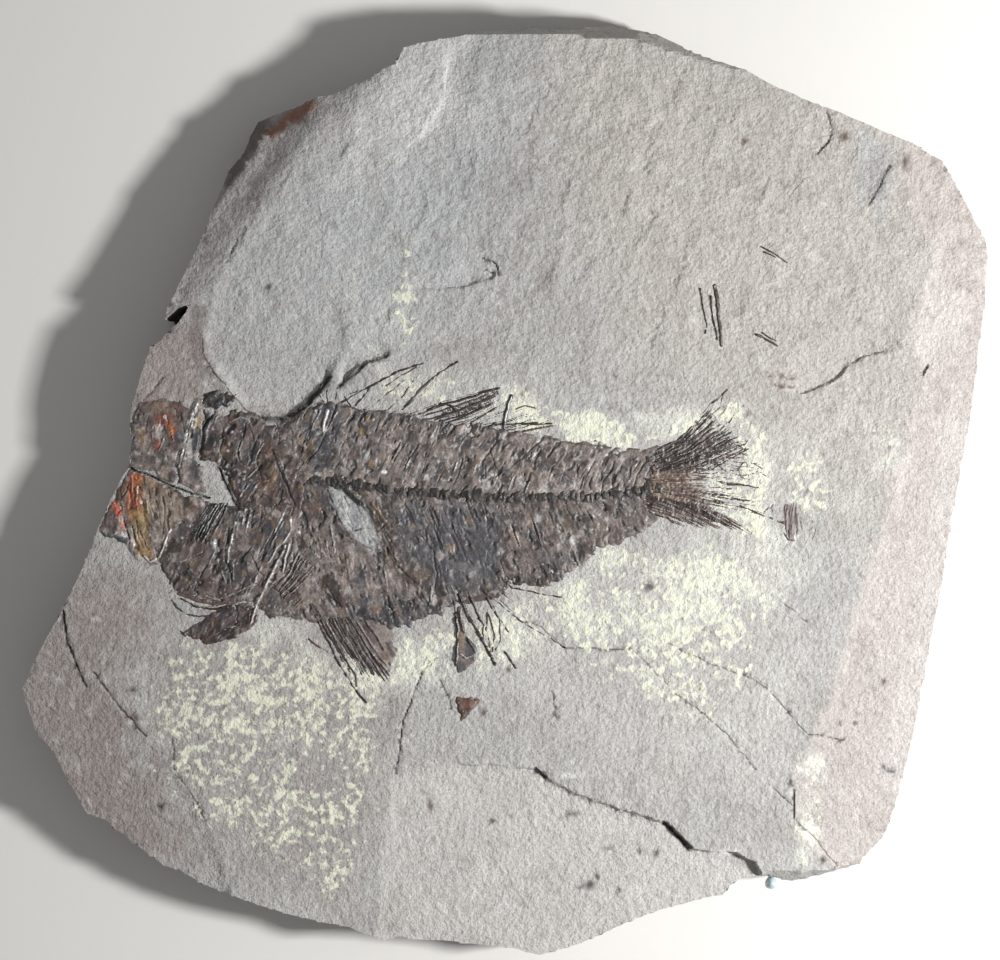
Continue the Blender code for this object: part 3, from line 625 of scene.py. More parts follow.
VEILS = (
    (BELLY_BLOOM, 36.0, 0.5), (BACK_BLOOM, 16.0, 0.55), (TAIL_BLOOM, 34.0, 0.5), (DORSAL_BLOOM, 20.0, 0.3),
    ((150, 620, 300, 625, 405, 640, 404, 700, 390, 780, 370, 880, 330, 920, 230, 860, 150, 790, 130, 700),
        60.0, 0.05),
    ((500, 590, 600, 540, 700, 520, 760, 530, 800, 600, 775, 690, 720, 755, 660, 730, 600, 700, 540, 640),
        60.0, 0.22),
    ((738, 400, 770, 430, 850, 440, 852, 520, 820, 570, 760, 560, 750, 470), 36.0, 0.15),
    ((505, 390, 620, 425, 700, 405, 735, 395, 700, 445, 620, 455, 520, 445), 20.0, 0.5),
    ((855, 420, 905, 415, 905, 480, 860, 490), 24.0, 0.45),
    ((800, 750, 824, 750, 820, 868, 798, 868), 10.0, 0.75),
    ((360, 230, 430, 235, 440, 300, 425, 400, 360, 395, 330, 300), 50.0, 0.15),
    ((395, 625, 455, 640, 440, 690, 398, 700), 24.0, 0.3),
)
BLOOM_FIELDS = (
    (BELLY_BLOOM, 0.525, 34.0), (BACK_BLOOM, 0.60, 14.0), (TAIL_BLOOM, 0.56, 30.0),
    (DORSAL_BLOOM, 0.47, 14.0),
    ((150, 625, 300, 630, 400, 640, 402, 700, 390, 780, 370, 880, 330, 915, 230, 860, 150, 790, 130, 700),
        0.525, 60.0),
    ((230, 650, 390, 650, 380, 720, 260, 760, 170, 740, 160, 690), 0.54, 40.0),
    ((520, 585, 600, 545, 680, 530, 760, 540, 790, 600, 770, 690, 720, 750, 660, 720, 590, 690, 540, 640),
        0.54, 60.0),
    ((540, 590, 600, 548, 660, 538, 690, 560, 620, 600, 560, 610), 0.52, 20.0),
    ((690, 636, 735, 640, 735, 655, 695, 653), 0.62, 12.0),
    ((505, 392, 560, 396, 640, 432, 700, 405, 738, 392, 700, 445, 620, 452, 520, 436), 0.52, 18.0),
    ((388, 238, 420, 240, 428, 300, 420, 395, 398, 392, 385, 300), 0.56, 30.0),
    ((760, 430, 850, 450, 850, 540, 780, 560), 0.47, 40.0),
    ((855, 415, 905, 415, 905, 485, 860, 490), 0.44, 30.0),
    ((795, 750, 830, 750, 822, 870, 796, 870), 0.52, 14.0),
    ((95, 700, 150, 700, 180, 800, 120, 800), 0.40, 40.0),
    ((400, 600, 460, 620, 455, 670, 400, 690), 0.48, 20.0),
    ((738, 405, 768, 430, 770, 520, 742, 535), 0.50, 14.0),
)
STONE_SPOTS = (
    ((845, 137), (8, 8), "brown"), ((906, 163), (8, 12), "brown"), ((745, 141), (6, 6), "brown"),
    ((650, 587), (10, 9), "umber"), ((525, 393), (8, 6), "brown"), ((268, 287), (6, 6), "umber"),
    ((770, 377), (5, 4), "bone"), ((781, 387), (6, 4), "wine"), ((792, 378), (6, 4), "bone"),
    ((782, 376), (4, 5), "brown"), ((775, 385), (4, 3), "brown"), ((790, 387), (5, 3), "bone"),
    ((590, 885), (9, 8), "umber"), ((581, 888), (7, 3), "umber"), ((598, 878), (4, 7), "umber"),
    ((657, 855), (5, 5), "brown"), ((640, 852), (3, 6), "brown"), ((620, 890), (4, 5), "brown"),
    ((610, 850), (9, 2), "brown"), ((892, 772), (9, 3), "slate"), ((885, 768), (4, 5), "slate"),
    ((735, 190), (10, 5), "white"), ((133, 690), (8, 5), "umber"), ((160, 807), (6, 4), "umber"),
    ((823, 860), (7, 5), "brown"), ((430, 806), (4, 10), "brown"), ((493, 822), (5, 5), "brown"),
    ((574, 815), (9, 5), "brown"), ((790, 782), (3, 12), "umber"), ((483, 713), (4, 6), "brown"),
    ((508, 669), (5, 4), "brown"), ((884, 683), (4, 5), "brown"), ((840, 724), (4, 4), "brown"),
    ((855, 723), (3, 4), "brown"), ((956, 370), (4, 9), "mauve"), ((947, 170), (3, 4), "umber"),
    ((748, 415), (5, 5), "mauve"), ((808, 490), (4, 6), "mauve"), ((765, 495), (4, 5), "mauve"),
    ((890, 446), (3, 6), "mauve"), ((135, 718), (5, 5), "umber"), ((205, 240), (6, 6), "dusk"),
    ((570, 775), (18, 5), "white"), ((728, 852), (26, 4), "white"), ((160, 476), (3, 3), "umber"),
)

# Cracks, and the painted shadows along deep cracks and under steps: the line, its width in plan units and
# its depth in mm.
CRACKS_AND_SHADOW_LINES = (
    ((262, 417, 280, 419, 291, 417, 301, 409, 309, 402, 319, 391, 329, 377), 6.5, 0.6),
    ((340, 386, 348, 378, 358, 370, 366, 362), 5.5, 0.5), ((370, 361, 379, 359, 387, 356), 4.0, 0.4),
    ((204, 456, 201, 444, 203, 430, 209, 419, 216, 411), 3.0, 0.3),
    ((890, 166, 884, 178, 870, 203), 2.6, 0.22), ((535, 769, 546, 777), 5.0, 0.5),
    ((664, 822, 676, 834, 690, 848), 5.5, 0.5),
    ((202, 334, 203, 352, 213, 372, 228, 389, 246, 410, 264, 417), 1.6, 0.14),
    ((441, 658, 429, 660, 422, 673, 410, 702, 403, 721, 398, 760, 394, 774), 1.7, 0.24),
    ((500, 600, 520, 620, 540, 626, 563, 648), 1.2, 0.12), ((563, 648, 633, 650), 2.0, 0.2),
    ((633, 650, 656, 673, 679, 696, 700, 710, 725, 732, 755, 769), 1.3, 0.14),
    ((663, 640, 679, 650, 709, 663, 752, 679, 770, 690, 788, 712, 808, 734, 845, 741), 1.3, 0.13),
    ((772, 787, 792, 805), 1.5, 0.14), ((795, 819, 815, 838, 838, 867), 1.4, 0.14),
    ((793, 790, 794, 805, 793, 819), 2.6, 0.25), ((163, 377, 152, 392, 143, 402), 1.8, 0.2),
    ((440, 678, 444, 688, 449, 698, 452, 708), 1.8, 0.16), ((63, 610, 66, 639, 80, 673, 86, 686), 3.2, 0.3),
    ((94, 673, 113, 699, 146, 736), 2.2, 0.18), ((172, 739, 174, 769, 192, 795, 206, 822), 1.8, 0.12),
    ((553, 690, 556, 720), 1.8, 0.1), ((227, 262, 232, 250, 238, 240), 1.8, 0.2),
    ((827, 113, 832, 129, 829, 139, 818, 154), 2.2, 0.26), ((922, 375, 928, 366), 3.2, 0.34),
    ((783, 602, 806, 622), 1.2, 0.1),
    ((127, 466, 142, 473, 160, 481, 173, 486, 190, 493, 199, 495, 210, 498), 2.4, 0.5),
    ((219, 468, 226, 485, 233, 500, 238, 508), 3.4, 0.5), ((484, 258, 495, 262, 499, 276), 2.0, 0.3),
    ((486, 270, 494, 274), 1.6, 0.2), ((805, 178, 795, 190, 787, 200), 1.3, 0.1),
)

# Scarps: the stone drops to the left of the line, seen along it, by a depth in mm, and comes back up
# over a width in plan units.
SCARPS = (
    ((690, 255, 684, 262, 676, 295, 662, 318, 651, 345), 0.22, 30.0), ((629, 190, 623, 219), 0.2, 24.0),
    ((571, 178, 566, 190, 560, 206), 0.2, 22.0), ((652, 120, 655, 146, 646, 178), 0.22, 26.0),
    ((616, 363, 614, 380), 0.2, 16.0), ((660, 205, 640, 250), 0.16, 20.0),
    ((720, 120, 712, 140, 700, 170), 0.16, 24.0), ((560, 240, 548, 290), 0.14, 20.0),
    ((770, 180, 748, 230), 0.16, 22.0), ((690, 60, 668, 110), 0.14, 26.0),
    ((740, 100, 728, 130), 0.14, 20.0), ((858, 128, 857, 160), 0.12, 16.0),
    ((889, 165, 878, 190, 868, 202), 0.25, 24.0), ((340, 125, 318, 133, 300, 160), 0.25, 26.0),
    ((362, 120, 340, 160), 0.14, 24.0), ((290, 172, 270, 205), 0.16, 18.0),
    ((262, 205, 240, 240), 0.16, 18.0), ((520, 300, 500, 352), 0.14, 24.0),
    ((600, 300, 584, 350), 0.14, 22.0), ((480, 150, 462, 200), 0.14, 24.0),
    ((540, 90, 526, 140), 0.14, 24.0), ((430, 195, 415, 235), 0.12, 22.0),
    ((392, 300, 384, 345), 0.14, 20.0), ((118, 640, 104, 668), 0.18, 20.0),
    ((230, 690, 215, 740), 0.14, 26.0), ((300, 740, 285, 800), 0.14, 26.0),
    ((640, 745, 628, 800), 0.12, 22.0), ((150, 590, 142, 622), 0.14, 18.0),
    ((750, 290, 738, 330), 0.1, 20.0),
)
# How far from its fine lines the face has small cells, in plan units, and how often a cell is cut there.
FINE_REACH = 4.5
FINE_CUTS = 2
GRAIN_TURN = 62.0

# The broken side: the rings of its mesh, the thickness of its layers in mm, and how many depths they have.
SIDE_RINGS = 8
SIDE_LAYER = 0.75
SIDE_DEPTHS = 64

# Hairlines deeper than this many mm are painted black as painted shadow; the others are umber. Edges that
# turn by more than this many degrees stay sharp.
SHADOW_DEPTH = 0.2
SHARP_EDGE = 42


def base_slab():
    """The slab as a plain prism with rings round its side."""
    bm = bmesh.new()
    corners = [bm.verts.new(on_plan(x, y)) for x, y in pairs(SLAB_OUTLINE)]
    face = bm.faces.new(corners)
    for _ in range(SIDE_RINGS):
        geom = [face, *face.edges, *face.verts]
        made = bmesh.ops.extrude_face_region(bm, geom=geom)["geom"]
        face = next(item for item in made if isinstance(item, bmesh.types.BMFace))
        bmesh.ops.translate(bm, vec=(0.0, 0.0, SLAB_HIGH.z / SIDE_RINGS), verts=face.verts)
    corners = [vert for vert in bm.verts if vert.co.z < TINY]
    bmesh.ops.contextual_create(bm, geom=corners)
    bmesh.ops.recalc_face_normals(bm, faces=bm.faces)
    return bm


def sliced(bm, faces, axis, cell):
    """Slices faces into strips across an axis. Each cut takes only the faces still ahead of it."""
    normal = Vector((0.0, 0.0, 0.0))
    normal[axis] = 1.0
    along = [vert.co[axis] for face in faces for vert in face.verts]
    low, high = min(along), max(along)
    strips = max(1, round((high - low) / cell))
    ahead = faces
    for strip in range(1, strips):
        at = low + (high - low) * strip / strips
        crossed = [face for face in ahead if max(vert.co[axis] for vert in face.verts) > at]
        geom = crossed + list({edge for face in crossed for edge in face.edges})
        geom += list({vert for face in crossed for vert in face.verts})
        cut = bmesh.ops.bisect_plane(bm, geom=geom, dist=1e-7, plane_co=normal * at, plane_no=normal)["geom"]
        made = [item for item in cut if isinstance(item, bmesh.types.BMFace)]
        ahead = [face for face in made if face.calc_center_median()[axis] > at]


def fine_lines():
    """The lines on the slab that need small cells."""
    lines = [row[0] for row in CRACKS_AND_SHADOW_LINES + SCARPS] + [row[2] for row in DIPS if row[2]]
    for (x, y), (across, _), _ in STONE_SPOTS:
        lines.append((x - across / 2, y, x + across / 2, y + 0.1))
    return lines


def refine(bm):
    """Divides the face's cells near the fine lines."""
    x, y = corner_plan(bm)
    heights = np.array([vert.co.z for vert in bm.verts])
    close, margin = np.zeros(len(x), bool), 2 * FINE_REACH
    for line in fine_lines():
        xs, ys = line[::2], line[1::2]
        box = (x > min(xs) - margin) & (x < max(xs) + margin)
        box &= (y > min(ys) - margin) & (y < max(ys) + margin)
        where = np.nonzero(box & (heights > SLAB_HIGH.z - TINY))[0]
        far, _ = line_reach(line, x[where], y[where])
        close[where] |= far < FINE_REACH
    bm.verts.index_update()
    edges = [edge for edge in bm.edges if close[edge.verts[0].index] and close[edge.verts[1].index]]
    bmesh.ops.subdivide_edges(bm, edges=edges, cuts=FINE_CUTS, use_grid_fill=True)


def dip_depths(x, y):
    """The depth in mm of the scars at each point of the plan."""
    depth = np.zeros_like(x)
    wave_x = x + 1.3 * fractal(x, y, 9.0, 21)
    wave_y = y + 1.3 * fractal(x, y, 9.0, 61)
    for outline, slope, steep, near, soft in DIPS:
        first, second, third = (Vector(point) for point in slope)
        normal = (second - first).cross(third - first)
        floor = first.z - (normal.x * (x - first.x) + normal.y * (y - first.y)) / normal.z
        reach = outline_reach(outline, wave_x, wave_y)
        share = ease(reach, 0.0, soft)
        if steep:
            far, _ = line_reach(steep, wave_x, wave_y)
            beside = 1.0 - ease(far - reach, 0.0, 10.0)
            share = share + (ease(reach, 0.0, near) - share) * beside
        depth = np.maximum(depth, np.clip(floor, 0.0, None) * share)
    return depth


def top_moves(x, y):
    """The roughness of the slab's face in mm: waves, streaks, flakes and grains."""
    turn = math.radians(GRAIN_TURN)
    along = x * math.cos(turn) - y * math.sin(turn)
    across = x * math.sin(turn) + y * math.cos(turn)
    rough = 0.6 + 0.55 * ease(-y, -430.0, -250.0) + 0.35 * fractal(x, y, 120.0, 11)
    rough -= 0.35 * ease(x + 0.35 * y, 1020.0, 1120.0)
    rise = 0.10 * fractal(x, y, 110.0, 12, 2)
    rise += 0.13 * rough * fractal(along / 20.0, across / 8.0, 1.0, 13, 4)
    flakes = fractal(along / 44.0, across / 15.0, 1.0, 14, 3) * 3.2
    share = flakes - np.floor(flakes)
    rise += 0.10 * rough * (np.floor(flakes) + ease(share, 0.0, 0.14) - flakes)
    rise += 0.07 * (0.4 + rough) * fractal(along / 9.0, across / 5.0, 1.0, 15, 3)
    rise -= 0.10 * rough * ease(fractal(x, y, 11.0, 16, 2), 0.42, 0.6)
    fish = outline_reach(FISH_FIELD, x, y)
    return rise * (1.0 - 0.8 * ease(fish, -8.0, 12.0)) - 0.02


def paint_slab(x, y):
    """The slab's face as a relief: hues, spots, hairlines with painted shadow in the deep ones, and scarps.
    """
    relief = Relief(x, y, "grey", 21, 1.3)
    for outline, stain, soft, strength in STONE_HUES_AND_SHADING:
        relief.patch(outline, stain, soft, strength, rag=4.0)
    for outline, soft, strength in VEILS:
        reach = outline_reach(outline, x, y) + (8.0 + 0.4 * soft) * fractal(x, y, 30.0, 31)
        amount = ease(reach, -0.5 * soft, 0.5 * soft) * strength
        amount *= 0.6 + 1.2 * fractal(x, y, 26.0, 32) + 0.8 * fractal(x, y, 11.0, 30)
        relief.colour += (COLOUR["lime"] - relief.colour) * np.clip(amount, 0.0, 1.0)[:, None]
    relief.flecks("mauve", 0.30, 22.0, 35, strength=0.2)
    relief.flecks("pale", 0.34, 9.0, 36, strength=0.25)
    relief.flecks("dusk", 0.46, 5.0, 37, strength=0.3)
    relief.flecks("white", 0.50, 5.0, 38, strength=0.35)
    relief.base += top_moves(x, y)
    for line, drop, fade in SCARPS:
        carve_scarp(relief, line, drop, fade)
    for centre, radii, stain in STONE_SPOTS:
        relief.spot(centre, radii, stain, 0.8, core=0.1)
    for line, width, depth in CRACKS_AND_SHADOW_LINES:
        # Deep cracks and the edges of steps are painted black: painted shadow.
        stain = "black" if depth > SHADOW_DEPTH else "umber"
        relief.stroke(line, width, -depth, stain, None, 0.9, wear=0.25)
    return relief


def carve_scarp(relief, line, drop, fade):
    """Lowers the stone on the left of a line, and lets it come back up further off."""
    far, share = line_reach(line, relief.wave_x, relief.wave_y)
    (ax, ay), (bx, by) = line[:2], line[-2:]
    side = (relief.wave_x - ax) * (by - ay) - (relief.wave_y - ay) * (bx - ax)
    side /= math.dist((ax, ay), (bx, by))
    ends = ease(share, 0.0, 0.2) * (1.0 - ease(share, 0.8, 1.0))
    relief.base += 0.7 * drop * ends * ease(side, -0.8, 0.8) * (1.0 - ease(far, 0.0, fade))


def bloom_amount(x, y):
    """How thick the pale yellow bloom is at each point of the plan, in clumps with loose edges."""
    amount, loose = np.zeros_like(x), 14.0 * fractal(x, y, 30.0, 31)
    clumps = 0.10 * fractal(x, y, 26.0, 32) + 0.10 * fractal(x, y, 11.0, 30)
    for outline, strength, soft in BLOOM_FIELDS:
        reach = outline_reach(outline, x, y) + loose
        amount = np.maximum(amount, (strength + clumps) * ease(reach, -0.5 * soft, 0.6 * soft))
    return amount


def side_insets(places, share):
    """How far each corner of the broken side lies inwards, in mm, and its layer's depth, from 0 to 1."""
    shares, insets, rough = zip(*SIDE_BANDS)
    x, y, z = places[:, 0] / MM, places[:, 1] / MM, places[:, 2] / MM
    inset = np.interp(share, shares, insets)
    uneven = np.interp(share, shares, rough)
    inset = inset + uneven * np.clip(0.5 + fractal(x, y, 5.0, 50), 0.0, 1.0)
    layer = np.floor(z / SIDE_LAYER + 0.9 * fractal(x, y, 9.0, 51))
    table = np.random.default_rng(52).uniform(0.0, 1.0, SIDE_DEPTHS)
    own = table[layer.astype(int) % SIDE_DEPTHS]
    chips = fractal(x + 3.1 * layer, y, 2.5, 53)
    return inset + 0.16 * own + 0.12 * np.clip(0.4 + chips, 0.0, 1.0), own


def make_slab(settings):
    """The slab: sliced fine, with its scars, its rough face and its broken side."""
    bm = base_slab()
    for axis in (0, 1):
        sliced(bm, [face for face in bm.faces if face.normal.z > -0.5], axis, settings.cell)
    refine(bm)
    bmesh.ops.dissolve_degenerate(bm, dist=TINY, edges=bm.edges)
    bm.normal_update()
    places = np.array([vert.co[:] for vert in bm.verts])
    normals = np.array([vert.normal[:] for vert in bm.verts])
    x, y = corner_plan(bm)
    share = places[:, 2] / SLAB_HIGH.z
    relief = paint_slab(x, y)
    depth = dip_depths(x, y)
    edge = outline_reach(SLAB_OUTLINE, x, y)
    top = share > 0.9999
    heights = share * (SLAB_HIGH.z - depth * MM)
    heights[top] += relief.rises()[top] * MM
    inset, layer = side_insets(places, share)
    near = np.where(top, 1.0 - ease(edge, 0.0, 5.0), 1.0) * (share > 0.0) + (share <= 0.0)
    flat = np.hypot(normals[:, 0], normals[:, 1])
    around = np.maximum(flat, TINY)
    side = flat > 0.2
    places[side, 0] -= (near * inset * normals[:, 0] / around)[side] * MM
    places[side, 1] -= (near * inset * normals[:, 1] / around)[side] * MM
    places[:, 2] = heights
    for vert, place in zip(bm.verts, places.tolist()):
        vert.co = place
    bloom = bloom_amount(x, y) * top
    wall = (~top)[:, None]
    # The broken side is painted darker than the face, painted shade, and each layer lighter or darker by its
    # own tone.
    colour = relief.colour * np.where(wall, (0.72 + 0.3 * layer)[:, None], 1.0)
    mark_corners(bm, {"stain": colour, "bloom": bloom})
    made = finished("shale_slab", bm, split_shale(settings))
    made.data.set_sharp_from_angle(angle=math.radians(SHARP_EDGE))
    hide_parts("slab")
    return made


# The fish


FISH_FIELD = (
    132, 402, 200, 396, 235, 392, 262, 414, 300, 410, 340, 400, 425, 372, 465, 372, 500, 390, 546, 408, 560,
    432, 650, 445, 700, 408, 738, 408, 750, 470, 750, 500, 738, 525, 660, 522, 600, 550, 560, 585, 500, 600,
    490, 620, 480, 650, 455, 652, 445, 615, 395, 630, 385, 680, 360, 690, 312, 625, 250, 640, 190, 638, 165,
    600, 160, 565, 125, 545, 98, 530, 110, 500, 130, 470,
)
SKULL = (
    134, 402, 148, 398, 163, 396, 178, 399, 190, 405, 197, 399, 210, 408, 205, 422, 202, 440, 202, 462, 205,
    480, 210, 496, 203, 495, 190, 491.5, 173, 484.5, 160, 479, 142, 471, 129, 465, 130, 440, 131, 420,
)
SKULL_CHIP = (198, 402, 204, 394, 216, 392, 228, 391, 235, 397, 231, 406, 214, 410, 202, 410)
CRANIUM = (
    204, 408, 224, 415, 238, 411, 252, 410, 262, 419, 276, 423, 290, 430, 300, 448, 306, 470, 308, 490, 304,
    514, 262, 516, 236, 510, 234, 495, 228, 482, 221, 468, 212, 461, 200, 460, 198, 440, 201, 425,
)
JAWS = (
    129, 466, 142, 472, 160, 480, 174, 485, 190, 493, 203, 497, 214, 506, 210, 520, 190, 530, 178, 536, 170,
    544, 168, 556, 168, 566, 150, 568, 138, 560, 127, 548, 113, 542, 101, 538, 98, 526, 104, 514, 110, 500,
    117, 486, 123, 474,
)
GILL_COVER = (
    206, 499, 237, 504, 262, 504, 300, 502, 306, 512, 304, 530, 298, 555, 288, 577, 274, 592, 262, 604, 240,
    603, 215, 601, 190, 599, 174, 592, 164, 575, 156, 562, 158, 545, 166, 530, 186, 519, 202, 508,
)
THROAT = (
    168, 588, 190, 594, 240, 598, 268, 594, 266, 614, 256, 628, 236, 643, 205, 644, 178, 640, 184, 628, 172,
    610,
)
PECTORAL_FIN = (
    256, 610, 278, 573, 294, 546, 308, 541, 324, 546, 332, 562, 328, 582, 316, 600, 300, 614, 280, 616,
)
UPPER_FLANK = (
    272, 422, 290, 416, 300, 408, 318, 402, 340, 402, 370, 406, 400, 411, 430, 416, 460, 421, 490, 426, 515,
    431, 545, 435, 575, 440, 605, 444, 620, 448, 640, 448, 660, 444, 674, 450, 674, 486, 640, 500, 560, 506,
    500, 506, 400, 499, 345, 491, 296, 490, 288, 470, 280, 448,
)
LOWER_FLANK = (
    290, 480, 345, 474, 400, 484, 500, 491, 600, 490, 672, 482, 676, 512, 652, 528, 638, 536, 620, 543, 603,
    548, 590, 558, 575, 573, 560, 581, 540, 586, 515, 588, 500, 595, 480, 597, 460, 601, 448, 613, 430, 621,
    410, 628, 390, 628, 372, 624, 350, 624, 325, 626, 300, 623, 268, 618, 254, 606, 276, 570, 288, 545, 292,
    515,
)
SPINE = (300, 480, 345, 482, 400, 490, 500, 497, 600, 495, 664, 486)
VERTEBRAE = 34
SPINE_FIELD = (
    298, 472, 345, 473, 400, 481, 500, 488, 600, 486, 668, 476, 668, 498, 600, 505, 500, 508, 400, 501, 345,
    493, 298, 490,
)
DORSAL_FIN = (
    322, 412, 318, 384, 330, 382, 360, 384, 400, 364, 428, 358, 465, 358, 466, 370, 450, 384, 498, 382, 516,
    392, 550, 400, 556, 432, 530, 441, 515, 438, 490, 434, 460, 430, 430, 424, 400, 419, 370, 414, 340, 412,
)
TAIL_FIN = (
    634, 470, 650, 448, 668, 436, 690, 426, 702, 418, 698, 402, 712, 394, 722, 386, 736, 390, 748, 404, 748,
    425, 748, 440, 770, 450, 774, 515, 752, 540, 740, 541, 720, 533, 700, 526, 680, 524, 660, 528, 640, 514,
)
PELVIC_FIN = (
    302, 600, 330, 608, 360, 614, 388, 618, 402, 640, 408, 660, 396, 690, 368, 708, 340, 682, 316, 656, 300,
    640,
)
ANAL_FIN = (
    438, 576, 458, 568, 500, 580, 530, 586, 566, 590, 568, 644, 560, 656, 524, 674, 500, 674, 478, 678, 458,
    680, 448, 660, 450, 630,
)


def edge_rise(relief, reach, full, ragged=1.0):
    """The rise of a plate that comes up out of the stone at a broken outline."""
    uneven = ragged * (2.2 * fractal(relief.x, relief.y, 5.0, relief.seed + 5)
                       + 2.6 * fractal(relief.x, relief.y, 15.0, relief.seed + 6))
    return -SHEET_SINK + (full + SHEET_SINK) * ease(reach + uneven, -1.5, 6.0)


def bony(relief, turn, seed, tones, rise=0.09, shine=0.35, size=1.0):
    """Crushed bone: patches of uneven tone, low bumps and pits, and small bright chips; the black in the
    pits is partly painted shade and the pale chips partly painted highlight.
    """
    relief.mottle(18.0, 0.35, seed)
    relief.mottle(7.0, 0.5, seed + 5)
    for place, (stain, level, grain, strength) in enumerate(tones):
        amount = min(1.0, 1.25 * strength)
        relief.flecks(stain, level, 1.5 * grain * size, seed + 10 + 3 * place, turn, 1.3, amount)
    lumps = fractal(*relief.turned(turn, 11.0 * size, 6.0 * size), 1.0, seed + 50, 2)
    relief.base += 1.6 * rise * lumps
    relief.gloss += 0.5 * shine * ease(lumps, 0.1, 0.5)
    relief.wrinkles(turn, 9.0 * size, 4.5 * size, 0.45 * rise, seed + 60, 0.26, shine)
    # Black flecks in the pits: dark bone and painted shade. Pale chips below: pale bone and painted
    # highlight.
    relief.flecks("black", 0.34, 9.0 * size, seed + 77, turn, 1.5, 0.5, -0.08)
    relief.flecks("black", 0.40, 4.0 * size, seed + 80, turn, 2.2, 0.75, -0.16, 0.1)
    relief.flecks("pale", 0.50, 3.0, seed + 90, turn, 1.3, 0.5, 0.03, 0.9)


def tiles(x, y, pitch, seed):
    """Round scales in rows that overlap towards the tail: how far back in its own scale each point is,
    how near that scale's edge, and a mark of the scale."""
    rng = np.random.default_rng(seed)
    shift = rng.uniform(-0.2, 0.2, (LATTICE, LATTICE, 2))
    mark = rng.uniform(0.0, 1.0, (LATTICE, LATTICE))
    row_step = 0.62
    u, v = x / pitch, y / (row_step * pitch)
    column, row = np.floor(u).astype(int), np.floor(v).astype(int)
    back, edge, own = np.full(x.shape, -1.0), np.zeros_like(x), np.zeros_like(x)
    for step_x in (1, 0, -1):
        for step_y in (-1, 0, 1):
            j, i = row + step_y, column + step_x
            a, b = i % LATTICE, j % LATTICE
            dx = u - (i + 0.5 + 0.5 * (j % 2) + shift[a, b, 0])
            dy = (v - (j + 0.5 + shift[a, b, 1])) * row_step
            far = np.hypot(dx, dy) / 0.78
            covered = far < 1.0
            back, edge = np.where(covered, dx, back), np.where(covered, 1.0 - far, edge)
            own = np.where(covered, mark[a, b], own)
    return back, edge, own


def scale_cover(relief, pitch, rise, seed, tilt=8.0, amount=1.0):
    """Overlapping scales that stand up at their back edges, each with a tone of its own, and with painted
    highlight on the raised backs and painted shade at the rims.
    """
    sine, cosine = math.sin(math.radians(tilt)), math.cos(math.radians(tilt))
    u = relief.flow_x * cosine + relief.flow_y * sine
    v = relief.flow_y * cosine - relief.flow_x * sine
    back, edge, mark = tiles(u, v, pitch, seed)
    amount = amount * (0.3 + 0.7 * ease(fractal(relief.x, relief.y, 24.0, seed + 1), -0.3, 0.25))
    rim = 1.0 - ease(edge, 0.0, 0.2)
    relief.base += rise * amount * (0.9 * back - 0.5 * rim)
    # The mark is each scale's own tone; the back is painted lighter, painted highlight, and the rim darker,
    # painted shade.
    relief.colour *= (1.0 + amount * (0.7 * (mark - 0.5) + 0.2 * back - 0.25 * rim))[:, None]
    relief.gloss += 0.25 * amount * ease(back, 0.1, 0.5)


def patches(relief, rows):
    """Several patches, each as (outline, stain, softness, strength)."""
    for outline, stain, soft, strength in rows:
        relief.patch(outline, stain, soft, strength)


def dark_lines(relief, rows, width=1.7, strength=0.85):
    """Several thin cracks or dark bones, each as the points of its line; in the cracks the black is painted
    shade.
    """
    for line in rows:
        relief.stroke(line, width, -0.16, "black", 0.2, strength, (1.0, 0.5))


def highlight_lines(relief, rows, width=1.6, strength=0.7, stain="pale"):
    """Several thin splinters of pale bone, painted lighter as painted highlights where they catch the light,
    each as the points of its line.
    """
    for line in rows:
        relief.stroke(line, width, 0.2, stain, 1.0, strength, (1.0, 0.5), 0.6)


